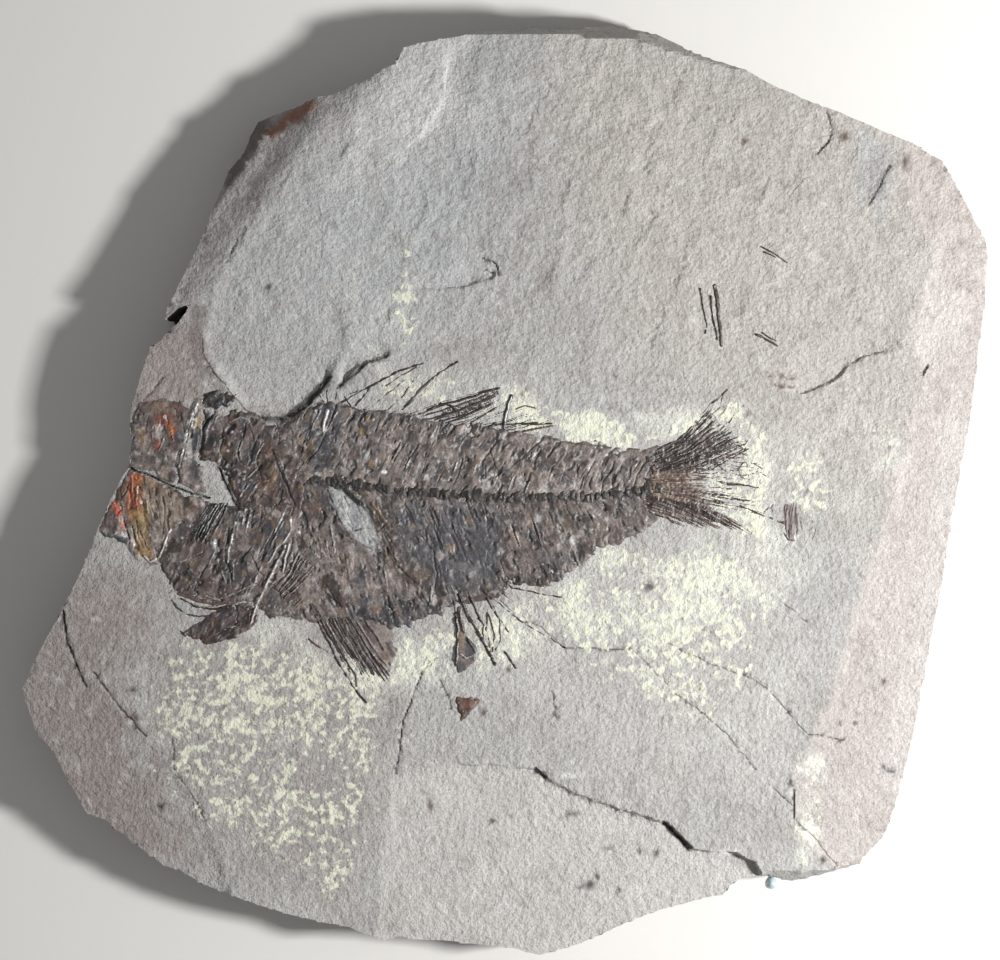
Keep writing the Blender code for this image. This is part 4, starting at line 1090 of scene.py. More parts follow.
def paint_skull(relief, reach):
    relief.base += edge_rise(relief, reach, 0.18)
    bony(
        relief, 80, 300,
        (("film", 0.16, 9.0, 0.5), ("mud", 0.22, 6.0, 0.5), ("tan", 0.36, 6.0, 0.45),
            ("plum", 0.40, 5.0, 0.6), ("pale", 0.46, 4.0, 0.4)),
        0.08, 0.3, 1.45,
    )
    patches(relief, (
        ((133, 405, 148, 402, 152, 409, 147, 417, 136, 417), "plum", 4.0, 0.9),
        ((151, 404, 165, 403, 167, 411, 153, 415), "tan", 4.0, 0.7),
        ((163, 409, 174, 407, 177, 414, 166, 418), "pink", 3.0, 0.4),
        ((166, 402, 180, 399, 188, 408, 184, 413, 172, 411), "wine", 4.0, 0.8),
        ((148, 400, 180, 398, 178, 424, 150, 424), "bone", 8.0, 0.6),
        ((142, 420, 182, 420, 180, 452, 146, 450), "bone", 10.0, 0.35),
        ((138, 428, 146, 428, 146, 443, 139, 443), "ochre", 4.0, 0.6),
        ((144, 416, 153, 417, 154, 438, 147, 436), "wine", 4.0, 0.7),
        ((155, 415, 169, 414, 170, 428, 158, 429), "red", 4.0, 0.7),
        ((155, 426, 163, 425, 163, 438, 156, 439), "pink", 3.0, 0.5),
        ((152, 439, 160, 440, 161, 449, 154, 450), "red", 3.0, 0.8),
        ((167, 426, 177, 427, 176, 443, 169, 443), "orange", 3.0, 0.9),
        ((172, 434, 183, 432, 182, 444, 173, 446), "blue", 3.0, 0.8),
        ((166, 441, 178, 442, 177, 451, 167, 450), "wine", 3.0, 0.6),
        ((192, 434, 201, 432, 200, 450, 193, 451), "slate", 3.0, 0.85),
        ((190, 457, 201, 456, 200, 480, 191, 480), "slate", 4.0, 0.75),
        ((134, 454, 156, 456, 157, 465, 136, 464), "plum", 4.0, 0.85),
        ((156, 457, 174, 461, 172, 469, 158, 466), "film", 5.0, 0.5),
        ((177, 479, 183, 479, 183, 484, 178, 483), "umber", 2.0, 0.8),
    ))
    relief.mottle(4.5, 0.7, relief.seed)
    relief.patch(
        (196, 399, 203, 398, 199, 413, 195, 427, 190, 440, 184, 441, 187, 424, 192, 410), "film", 2.5, 0.6,
        0.12, 1.0,
    )
    relief.flecks(
        "white", 0.3, 3.0, 302, 75, 2.4, 0.8, 0.05, 1.0,
        ease(outline_reach((196, 399, 203, 398, 190, 440, 184, 441), relief.x, relief.y), -3.0, 1.0),
    )
    relief.patch((184, 439, 192, 438, 192, 458, 186, 459), "pale", 3.0, 0.6, 0.06, 1.0)
    relief.patch((195, 417, 202, 416, 201, 425, 196, 426), "ochre", 2.0, 0.7)
    relief.flecks("white", 0.12, 2.6, 301, 80, 1.2, 0.8, 0.06, 1.0,
                  ease(-np.abs(relief.wave_x - 190 + 0.22 * (relief.wave_y - 430)), -6.0, -3.0)
                  * (relief.wave_y < 460))
    dark_lines(relief, (
        (150, 414, 146, 423), (174.6, 409, 176, 416), (181.5, 449, 175.8, 475), (184.5, 450, 179, 476),
        (178.5, 451, 174, 470), (189, 434, 186, 446, 186, 457), (147, 423, 146, 434),
    ), 1.3)
    dark_lines(relief, ((165, 417, 168, 423, 167, 431), (200, 430, 199, 446, 200, 460)), 3.0)
    relief.stroke((175, 415, 182, 422, 185, 432), 1.8, -0.08, "umber", 0.3, 0.8)
    relief.stroke((202, 472, 203.5, 482), 1.4, 0.0, "wine", 0.3, 0.8)
    highlight_lines(
        relief,
        ((153, 427, 152, 440, 155, 447), (164.5, 432, 162.5, 444, 159, 450), (160, 420, 161, 430),
            (182.5, 449, 177.5, 472), (172, 430, 173, 440)),
        1.5, 0.75, "pink",
    )
    highlight_lines(relief, ((198, 402, 193, 414, 189, 428), (194, 418, 190, 434, 187, 448)), 1.6, 0.8, "white")
    relief.colour *= 0.9


def paint_chip(relief, reach):
    relief.base += edge_rise(relief, reach, 0.3)
    bony(
        relief, 20, 330, (("slate", 0.1, 7.0, 0.7), ("film", 0.38, 4.0, 0.5), ("black", 0.2, 7.0, 0.6)),
        0.14,
    )


def paint_cranium(relief, reach):
    relief.base += edge_rise(relief, reach, 0.3)
    patches(relief, (
        ((202, 414, 214, 410, 222, 418, 216, 442, 204, 448, 199, 432), "slate", 5.0, 0.7),
        ((219, 416, 248, 414, 252, 428, 240, 438, 222, 434), "wine", 8.0, 0.6),
        ((230, 416, 252, 416, 250, 424, 232, 424), "tan", 4.0, 0.5),
        ((222, 442, 236, 438, 238, 456, 228, 464, 221, 456), "tan", 5.0, 0.7),
        ((238, 442, 252, 444, 248, 464, 240, 462), "film", 5.0, 0.6),
        ((260, 446, 270, 442, 278, 458, 280, 480, 272, 494, 260, 490, 257, 466), "bone", 6.0, 0.85),
        ((266, 460, 274, 460, 276, 482, 268, 486), "ochre", 5.0, 0.55),
        ((270, 488, 284, 488, 284, 504, 268, 502), "bone", 5.0, 0.6),
        ((220, 464, 236, 466, 240, 478, 232, 486, 224, 476), "black", 4.0, 0.8),
        ((232, 478, 246, 470, 258, 472, 248, 484, 238, 492), "umber", 6.0, 0.6),
        ((278, 420, 300, 430, 305, 462, 290, 464, 280, 446), "rock", 7.0, 0.65),
    ))
    bony(
        relief, 62, 360,
        (("umber", 0.26, 6.0, 0.7), ("rock", 0.34, 5.0, 0.5), ("wine", 0.26, 7.0, 0.55),
            ("slate", 0.38, 5.0, 0.6), ("tan", 0.42, 4.0, 0.5), ("pink", 0.50, 3.0, 0.5)),
        0.12, 0.4, 1.45,
    )
    # The wide black cracks are painted shadow in deep cracks.
    dark_lines(relief, (
        (215, 410, 206, 422, 202, 432, 201, 444, 201, 458), (220, 469, 226, 482, 230, 494, 237, 508),
        (272, 450, 276, 461, 281, 473, 286, 485, 292, 498, 297, 508), (290, 428, 293, 436, 296, 443),
    ), 3.8, 1.0)
    dark_lines(relief, (
        (223, 440, 220, 450, 223, 459, 231, 465), (241, 442, 238, 450, 240, 461, 247, 466),
        (260, 448, 257, 462, 262, 478), (219, 420, 224, 430, 221, 438), (250, 428, 254, 440),
        (279, 426, 279, 443), (286, 436, 296, 434), (262, 494, 272, 500), (247, 484, 240, 500),
        (257, 486, 250, 502), (228, 424, 240, 430),
    ), 1.8)
    highlight_lines(relief, (
        (211, 420, 207, 432, 205, 444), (217, 416, 212, 428), (263, 444, 258, 452, 255, 463),
        (231, 422, 240, 417, 249, 420, 252, 427), (243, 442, 240, 450, 242, 460),
        (247, 478, 256, 470, 262, 460), (240, 496, 248, 486, 258, 480), (245, 502, 252, 492),
        (254, 488, 260, 482), (279, 458, 284, 470, 290, 484),
    ), 1.5, 0.65)
    # White spots: painted highlights, glints on the bone.
    for centre in pairs((228, 451, 244, 479, 256, 487, 286, 470, 233, 432)):
        relief.spot(centre, (2.0, 1.8), "white", 0.8, 0.06, 1.0)
    relief.spot((233, 484), (2.2, 5.0), "ochre", 0.7, 0.05, 0.6)
    relief.colour *= 0.85


def paint_jaws(relief, reach):
    relief.base += edge_rise(relief, reach, 0.26)
    bony(
        relief, 100, 390,
        (("umber", 0.42, 5.0, 0.6), ("bone", 0.30, 6.0, 0.5), ("film", 0.34, 6.0, 0.45),
            ("orange", 0.44, 4.0, 0.5), ("pale", 0.48, 3.5, 0.5)),
        0.11, 0.45, 1.45,
    )
    patches(relief, (
        ((143, 477, 162, 483, 180, 491, 190, 515, 172, 527, 160, 531, 152, 505), "tan", 7.0, 0.55),
        ((117, 479, 124, 474, 128, 484, 124, 502, 113, 502), "bone", 3.0, 0.85),
        ((130, 472, 141, 473, 144, 484, 142, 504, 140, 517, 131, 522, 124, 510, 125, 488),
            "rust", 5.0, 0.95),
        ((130, 474, 140, 476, 140, 506, 131, 504), "orange", 6.0, 0.6),
        ((128, 508, 142, 512, 150, 538, 153, 556, 146, 561, 139, 556, 133, 536), "ochre", 4.0, 0.85),
        ((140, 480, 150, 482, 152, 514, 142, 516), "tan", 5.0, 0.6),
        ((140, 498, 149, 500, 152, 528, 144, 528), "ochre", 5.0, 0.6),
        ((110, 499, 117, 502, 121, 514, 118, 520, 112, 512), "coral", 4.0, 0.95),
        ((118, 518, 124, 520, 128, 534, 120, 537, 114, 530), "pink", 4.0, 0.55),
        ((119, 520, 126, 522, 127, 531, 121, 531), "coral", 2.5, 0.6),
        ((103, 513, 114, 510, 118, 521, 113, 531, 103, 529), "plum", 3.0, 0.9),
        ((101, 533, 113, 537, 127, 538, 126, 543, 112, 544, 101, 539), "slate", 2.0, 0.95),
        ((173, 486, 183, 490, 191, 500, 197, 508, 192, 512, 185, 506, 179, 498), "umber", 3.0, 0.85),
        ((190, 501, 199, 506, 200, 516, 192, 520, 186, 513), "bone", 3.0, 0.6),
        ((187, 491, 202, 498, 206, 506, 198, 506, 191, 500), "rock", 3.0, 0.8),
        ((164, 541, 170, 533, 168, 553, 159, 561), "ochre", 2.0, 0.7),
    ))
    relief.mottle(4.5, 0.7, relief.seed)
    relief.flecks(
        "white", 0.3, 2.4, 394, 100, 1.3, 0.8, 0.05, 1.0,
        ease(outline_reach((116, 516, 126, 520, 130, 538, 114, 537), relief.x, relief.y), -2, 1),
    )
    relief.flecks(
        "coral", 0.2, 4.0, 398, 100, 2.2, 0.6, 0.04, 0.9,
        ease(outline_reach((128, 474, 142, 478, 140, 520, 124, 512), relief.x, relief.y), -2, 2),
    )
    dark_lines(relief, (
        (120, 504, 123, 519, 128, 534, 129, 544), (128, 483, 126, 490, 121, 498),
        (163, 498, 165, 514, 163, 534), (140, 531, 145, 543, 151, 555),
    ), 2.6, 0.95)
    dark_lines(relief, (
        (119, 482, 121, 496, 118, 506), (155, 500, 159, 512, 160, 524), (148, 488, 150, 506, 156, 520),
        (136, 520, 138, 536, 144, 550), (170, 492, 172, 506), (132, 526, 136, 544),
        (128, 468, 142, 474.5, 160, 482.5, 174, 487.5, 190, 495, 200, 497.5),
    ), 1.5, 0.8)
    highlight_lines(relief, (
        (132, 478, 131, 492), (137, 486, 136, 500, 138, 512), (113, 502, 117, 511),
        (143, 536, 147, 546, 150, 553), (146, 500, 148, 514), (134, 530, 138, 542),
    ), 1.5, 0.6)
    # White splinters: pale bone with painted highlight on it.
    highlight_lines(
        relief, ((171, 530, 166, 540, 162, 550, 158, 561), (144, 557, 150, 562, 157, 559)), 2.4, 0.95,
        "white",
    )
    relief.spot((173, 541), (4.5, 6.0), "pale", 0.6, 0.06, 0.9)
    relief.spot((176, 544), (3.0, 4.0), "blue", 0.6, 0.0, 0.8)
    # White spots: painted highlights, glints on the bone.
    for centre in pairs((150, 535, 141, 502, 136, 490, 134, 545)):
        relief.spot(centre, (1.8, 2.4), "white", 0.8, 0.06, 1.0)


def paint_gill_cover(relief, reach):
    relief.base += edge_rise(relief, reach, 0.34) + 0.16 * ease(reach, 0.0, 30.0)
    patches(relief, (
        ((176, 532, 190, 521, 204, 517, 203, 534, 190, 542, 178, 542), "slate", 4.0, 0.9),
        ((204, 503, 228, 502, 222, 520, 204, 546, 196, 542), "slate", 6.0, 0.5),
        ((231, 512, 243, 504, 242, 517, 233, 526), "black", 3.0, 0.75),
        ((254, 502, 292, 502, 286, 524, 270, 544, 252, 542), "bone", 8.0, 0.55),
        ((234, 548, 252, 544, 263, 551, 262, 570, 252, 583, 239, 586, 232, 570), "rock", 5.0, 0.7),
        ((168, 562, 230, 560, 228, 596, 178, 594), "wine", 8.0, 0.35),
        ((264, 544, 286, 524, 284, 540, 264, 566), "slate", 4.0, 0.8),
        ((210, 536, 219, 536, 218, 552, 210, 552), "blue", 3.0, 0.5),
    ))
    bony(
        relief, 64, 420,
        (("umber", 0.24, 7.0, 0.65), ("wine", 0.24, 8.0, 0.5), ("rock", 0.36, 5.0, 0.5),
            ("slate", 0.36, 6.0, 0.55), ("tan", 0.42, 4.0, 0.5), ("pink", 0.50, 3.0, 0.45)),
        0.13, 0.45, 1.45,
    )
    relief.fan((229, 502, 206, 507), (207, 547, 190, 538), 8, 2.0, 0.22, "slate", 0.9, 421)
    relief.fan((226, 502, 208, 507), (204, 542, 193, 532), 6, 1.3, 0.28, "pale", 1.0, 422)
    relief.fan((227, 503, 209, 507), (205, 544, 192, 534), 6, 1.5, -0.2, "black", 0.3, 424)
    dark_lines(relief, (
        (229, 528, 226, 546, 225, 560, 231, 574, 232, 588), (249, 506, 246, 522), (254, 508, 251, 528),
        (295, 503, 292, 516), (276, 584, 264, 598, 257, 612), (293, 538, 290, 552, 284, 574),
        (207, 565, 200, 577, 197, 588), (253, 558, 257, 567, 263, 575),
    ), 2.8, 0.95)
    dark_lines(relief, (
        (178, 563, 190, 558, 202, 554, 207, 548), (180, 570, 190, 580), (214, 566, 220, 580),
        (238, 514, 234, 530), (275, 530, 266, 546, 262, 560), (284, 562, 272, 580), (280, 526, 270, 544),
        (262, 512, 258, 530), (268, 506, 264, 520), (246, 590, 232, 596),
        (210, 601, 225, 599.5, 242, 594, 258, 584), (300, 546, 296, 566),
    ), 1.7, 0.8)
    # White splinters: pale bone with painted highlight on it.
    highlight_lines(
        relief,
        ((236, 522, 232, 536, 229, 552, 228, 563), (246, 505, 244, 516, 243, 524),
            (252, 506, 249, 520, 246, 533), (286, 508, 281, 520, 276, 532),
            (291, 518, 291, 530, 285, 540, 275, 552, 268, 563)),
        2.6, 0.95, "white",
    )
    # The broad white strokes are painted highlights along the gill splinters.
    relief.stroke((289, 544, 286, 558, 283, 572), 3.0, 0.34, "white", 1.0, 1.0, (1.0, 0.4), 0.2)
    relief.stroke(
        (286, 546, 279, 560, 272, 574, 264, 590, 257, 604), 5.0, 0.42, "white", 1.0, 0.95, (0.9, 0.5), 0.75,
    )
    relief.stroke((281, 552, 274, 566, 266, 580), 2.0, -0.12, "wine", 0.8, 0.9)
    relief.stroke((258, 598, 254, 614), 3.0, 0.3, "pale", 1.0, 0.9)
    highlight_lines(relief, (
        (234, 564, 233, 579), (214, 554, 210, 563), (284, 522, 274, 540, 266, 556),
        (262, 566, 254, 584, 248, 596), (268, 540, 260, 556), (238, 526, 236, 538),
        (180, 562, 192, 557, 203, 552), (205, 595, 214, 599, 226, 597, 240, 591, 256, 582),
        (188, 566, 196, 574), (222, 570, 226, 582),
    ), 1.5, 0.6)
    # White spots: painted highlights, glints on the bone.
    relief.spot((214.5, 544), (3.0, 6.5), "white", 0.8, 0.10, 1.0)
    for centre in pairs((182, 538, 190, 526, 218, 560, 206, 536)):
        relief.spot(centre, (1.6, 2.0), "white", 0.8, 0.05, 1.0)
    relief.colour *= 0.87


def paint_throat(relief, reach):
    relief.base -= SHEET_SINK
    relief.patch(
        (183, 634, 195, 624, 207, 617, 217, 609, 232, 604, 248, 603, 257, 611, 257, 621, 248, 629, 236, 637,
            220, 642, 206, 644, 196, 639),
        "plum", 3.0, 0.95, 0.30, 0.3,
    )
    on = ease(relief.base, 0.0, 0.15)
    relief.flecks("black", 0.05, 8.0, 431, 35, 1.8, 0.7, -0.06, 0.3, on)
    relief.flecks("rock", 0.36, 5.0, 432, 35, 1.6, 0.5, 0.0, 0.5, on)
    relief.flecks("bone", 0.2, 8.0, 433, 35, 1.6, 0.4, 0.0, 0.4, on)
    relief.wrinkles(35, 10.0, 4.5, 0.1, 430, 0.45, 0.4, on)
    relief.spot((222, 617), (7.0, 6.0), "slate", 0.9, 0.03, 0.7)
    relief.spot((205, 628), (12.0, 5.0), "slate", 0.5)
    relief.stroke(
        (178, 594, 196, 600, 214, 604, 232, 602, 250, 592), 7.0, 0.30, "plum", 0.4, 0.95, (0.6, 1.0), 0.3,
    )
    relief.stroke((186, 594, 204, 600, 224, 601, 244, 594), 2.0, 0.36, "bone", 0.4)
    relief.strokes((
        ((181, 599, 194, 606, 210, 609, 228, 607), 2.4, 0.34, "umber", 0.4),
        ((190, 603, 204, 607, 216, 606), 1.3, 0.38, "rock", 0.5),
        ((172, 598, 177, 608, 186, 614, 199, 616.5, 214, 616), 2.4, 0.30, "slate", 0.5),
        ((168, 594, 172, 590, 178, 588), 1.8, 0.22, "umber", 0.4),
        ((176, 626, 182, 632, 187, 639), 2.2, 0.26, "slate", 0.5),
        ((230, 600, 238, 612, 236, 622), 1.6, -0.14, "black", 0.2),
        ((243, 606, 250, 612, 248, 624), 1.6, 0.16, "bone", 0.5),
        ((214, 636, 230, 628, 246, 622), 1.4, -0.12, "black", 0.2),
        ((258, 600, 254, 614, 250, 624), 2.2, 0.32, "pale", 0.9),
    ))


def paint_pectoral(relief, reach):
    relief.base += edge_rise(relief, reach, 0.26)
    relief.mottle(10.0, 0.3, 440)
    relief.patch((300, 536, 320, 540, 326, 566, 312, 560), "rock", 6.0, 0.5)
    relief.patch((262, 600, 300, 600, 300, 616, 264, 614), "mud", 6.0, 0.6)
    bony(
        relief, 45, 441, (("umber", 0.30, 5.0, 0.6), ("rock", 0.34, 5.0, 0.5), ("tan", 0.40, 4.0, 0.4)),
        0.07, 0.4,
    )
    relief.fan(
        (277, 588, 284, 600), (299, 552, 317, 572), 12, 1.7, 0.34, "rock", 0.8, 443, (1.0, 0.9), 0.04, 1.0,
    )
    relief.fan(
        (278, 590, 285, 602), (301, 554, 319, 574), 12, 1.5, -0.26, "black", 0.2, 444, (1.0, 0.9), 0.04,
        1.0,
    )
    relief.fan((288, 600, 300, 608), (314, 578, 322, 590), 6, 1.2, 0.20, "tan", 0.7, 445)
    relief.fan((290, 600, 302, 608), (315, 579, 323, 591), 6, 1.2, -0.18, "black", 0.2, 446)
    dark_lines(relief, ((306, 530, 312, 546, 318, 560), (280, 604, 284, 616)), 1.6)
    highlight_lines(relief, ((309, 528, 314, 542, 319, 556),), 1.4, 0.6, "tan")


def hair_lines(relief, seed, rows):
    """Rows of fine slanting lines, each row as (count, end to end, reach, width, rise, stain, strength)."""
    rng = np.random.default_rng(seed)
    for count, ends, (run, drop), width, rise, stain, strength in rows:
        for place in range(count):
            foot = between(ends[:2], ends[2:], (place + rng.uniform(0.0, 0.9)) / count)
            foot = (foot[0], foot[1] + rng.uniform(-3.0, 3.0))
            size = rng.uniform(0.5, 1.1)
            tip = (foot[0] + run * size + rng.uniform(-2.0, 2.0), foot[1] + drop * size)
            middle = between(foot, tip, 0.5)
            middle = (middle[0] + rng.uniform(-1.2, 1.2), middle[1])
            relief.stroke((*foot, *middle, *tip), width, 0.75 * rise, stain, 0.5, strength, (1.0, 0.5), 0.85)


def paint_upper_flank(relief, reach):
    relief.base += edge_rise(relief, reach, 0.20, 1.5) + 0.18 * ease(reach, 0.0, 34.0)
    relief.base -= 0.26 * ease(relief.x, 636.0, 672.0)
    patches(relief, (
        ((300, 408, 338, 404, 344, 424, 336, 470, 318, 474, 302, 446), "slate", 9.0, 0.75),
        ((278, 420, 300, 424, 302, 462, 290, 468, 282, 448), "rock", 6.0, 0.8),
        ((301, 440, 316, 438, 314, 458, 302, 462), "tan", 4.0, 0.6),
        ((350, 414, 380, 414, 376, 470, 352, 470), "slate", 14.0, 0.35),
        ((382, 446, 400, 440, 401, 462, 386, 470), "rock", 4.0, 0.7),
        ((401, 456, 413, 452, 412, 474, 402, 476), "rock", 4.0, 0.6),
        ((430, 460, 448, 458, 446, 486, 428, 488), "slate", 6.0, 0.6),
        ((444, 452, 458, 452, 458, 472, 446, 472), "rock", 5.0, 0.6),
        ((476, 462, 489, 462, 488, 486, 478, 486), "slate", 5.0, 0.6),
        ((493, 474, 502, 474, 503, 489, 492, 489), "rock", 3.0, 0.7),
        ((500, 470, 510, 470, 508, 490, 502, 486), "slate", 4.0, 0.6),
        ((600, 448, 634, 448, 632, 458, 604, 459), "rock", 5.0, 0.6),
        ((620, 460, 670, 448, 664, 476, 624, 480), "slate", 10.0, 0.3),
    ))
    scale_cover(relief, 10.5, 0.11, 450)
    bony(
        relief, 62, 451,
        (("umber", 0.30, 6.0, 0.5), ("rock", 0.30, 6.0, 0.5), ("slate", 0.30, 7.0, 0.45),
            ("tan", 0.42, 5.0, 0.4), ("pale", 0.46, 4.0, 0.4)),
        0.09, 0.35, 1.15,
    )
    oval_scales(relief)
    hair_lines(relief, 452, (
        (26, (352, 420, 450, 432), (7.0, -16.0), 1.3, -0.10, "slate", 0.7),
        (20, (356, 424, 452, 436), (6.0, -14.0), 1.2, 0.14, "rock", 0.6),
        (22, (340, 468, 640, 480), (7.0, -16.0), 1.3, -0.12, "black", 0.6),
        (18, (346, 470, 640, 482), (6.0, -13.0), 1.3, 0.16, "rock", 0.6),
        (14, (380, 440, 600, 456), (8.0, -14.0), 1.3, -0.10, "umber", 0.6),
    ))
    relief.stroke(
        (296, 414, 318, 405, 345, 407, 400, 415, 440, 421, 480, 427, 520, 433), 3.0, 0.06, "slate", 0.4,
        0.8,
    )
    relief.stroke((520, 433, 575, 444, 640, 450), 2.2, 0.04, "umber", 0.3, 0.5)
    relief.stroke((327, 411, 325, 420, 323, 431), 4.4, 0.24, "pale", 1.0, 0.95, (1.0, 0.6), 0.2)
    relief.stroke((315, 410, 311, 422, 307, 440), 5.0, 0.12, "slate", 0.8, 0.8)
    highlight_lines(relief, (
        (301, 412, 297, 424), (320, 411, 314, 424, 308, 440), (337, 412, 331, 424, 327, 432),
        (430, 438, 435, 430), (387, 468, 391, 460), (425, 466, 430, 450, 437, 436), (457, 462, 453, 476),
        (513, 478, 508, 490), (530, 482, 525, 493), (497, 476, 493, 487), (411, 458, 406, 468),
        (477, 464, 474, 474),
    ), 1.7, 0.75)
    dark_lines(relief, (
        (334, 411, 329, 426, 321, 444, 316, 452, 308, 463), (463, 459, 459, 472, 452, 488),
        (449, 420, 440, 431, 432, 445, 428, 456, 421, 478), (400, 443, 394, 455, 386, 470),
        (614, 462, 610, 472, 603, 482, 601, 496), (657, 451, 644, 463, 637, 475, 633, 488),
    ), 2.4, 0.95)
    dark_lines(relief, (
        (419, 444, 411, 457, 404, 469), (490, 452, 496, 467, 502, 476), (499, 474, 494, 488),
        (541, 440, 526, 454, 508, 470), (552, 467, 548, 483), (584, 477, 580, 490),
        (594, 462, 586, 477, 583, 491), (672, 452, 662, 463, 657, 476), (664, 450, 652, 464, 645, 478),
        (290, 428, 294, 438), (318, 450, 311, 457, 304, 464), (445, 468, 437, 484), (486, 466, 484, 480),
        (516, 476, 511, 489), (565, 468, 561, 482), (640, 462, 628, 478),
    ), 1.7, 0.85)
    # White spots: painted highlights, glints on the bone.
    relief.spot((384, 472), (3.2, 2.6), "white", 0.95, 0.10, 0.9, 0.6)
    relief.spot((312, 481), (3.0, 2.0), "white", 0.8, 0.06, 0.9)


def oval_scales(relief):
    """Tan ovals of flank showing between dark scales, in slanting rows behind the head."""
    for x, y, stain in (
        (341, 430, "film"), (355, 424, "rock"), (368, 420, "ochre"), (346, 446, "rock"), (353, 454, "bone"),
        (362, 432, "ochre"), (359, 441, "rock"), (367, 455, "pale"), (344, 462, "pale"),
        (371, 463, "ochre"), (381, 424, "tan"), (392, 428, "rock"), (384, 438, "film"), (404, 433, "film"),
        (408, 446, "rock"), (418, 434, "film"), (420, 456, "film"), (432, 436, "rock"), (334, 444, "film"),
        (427, 478, "pale"),
    ):
        relief.spot((x, y), (4.2, 6.0), stain, 0.75, 0.04, 0.4, 0.25)
        relief.stroke((x - 6, y + 8, x - 4, y, x + 1, y - 8), 2.2, -0.08, "slate", 0.4, 0.6, wear=0.6)


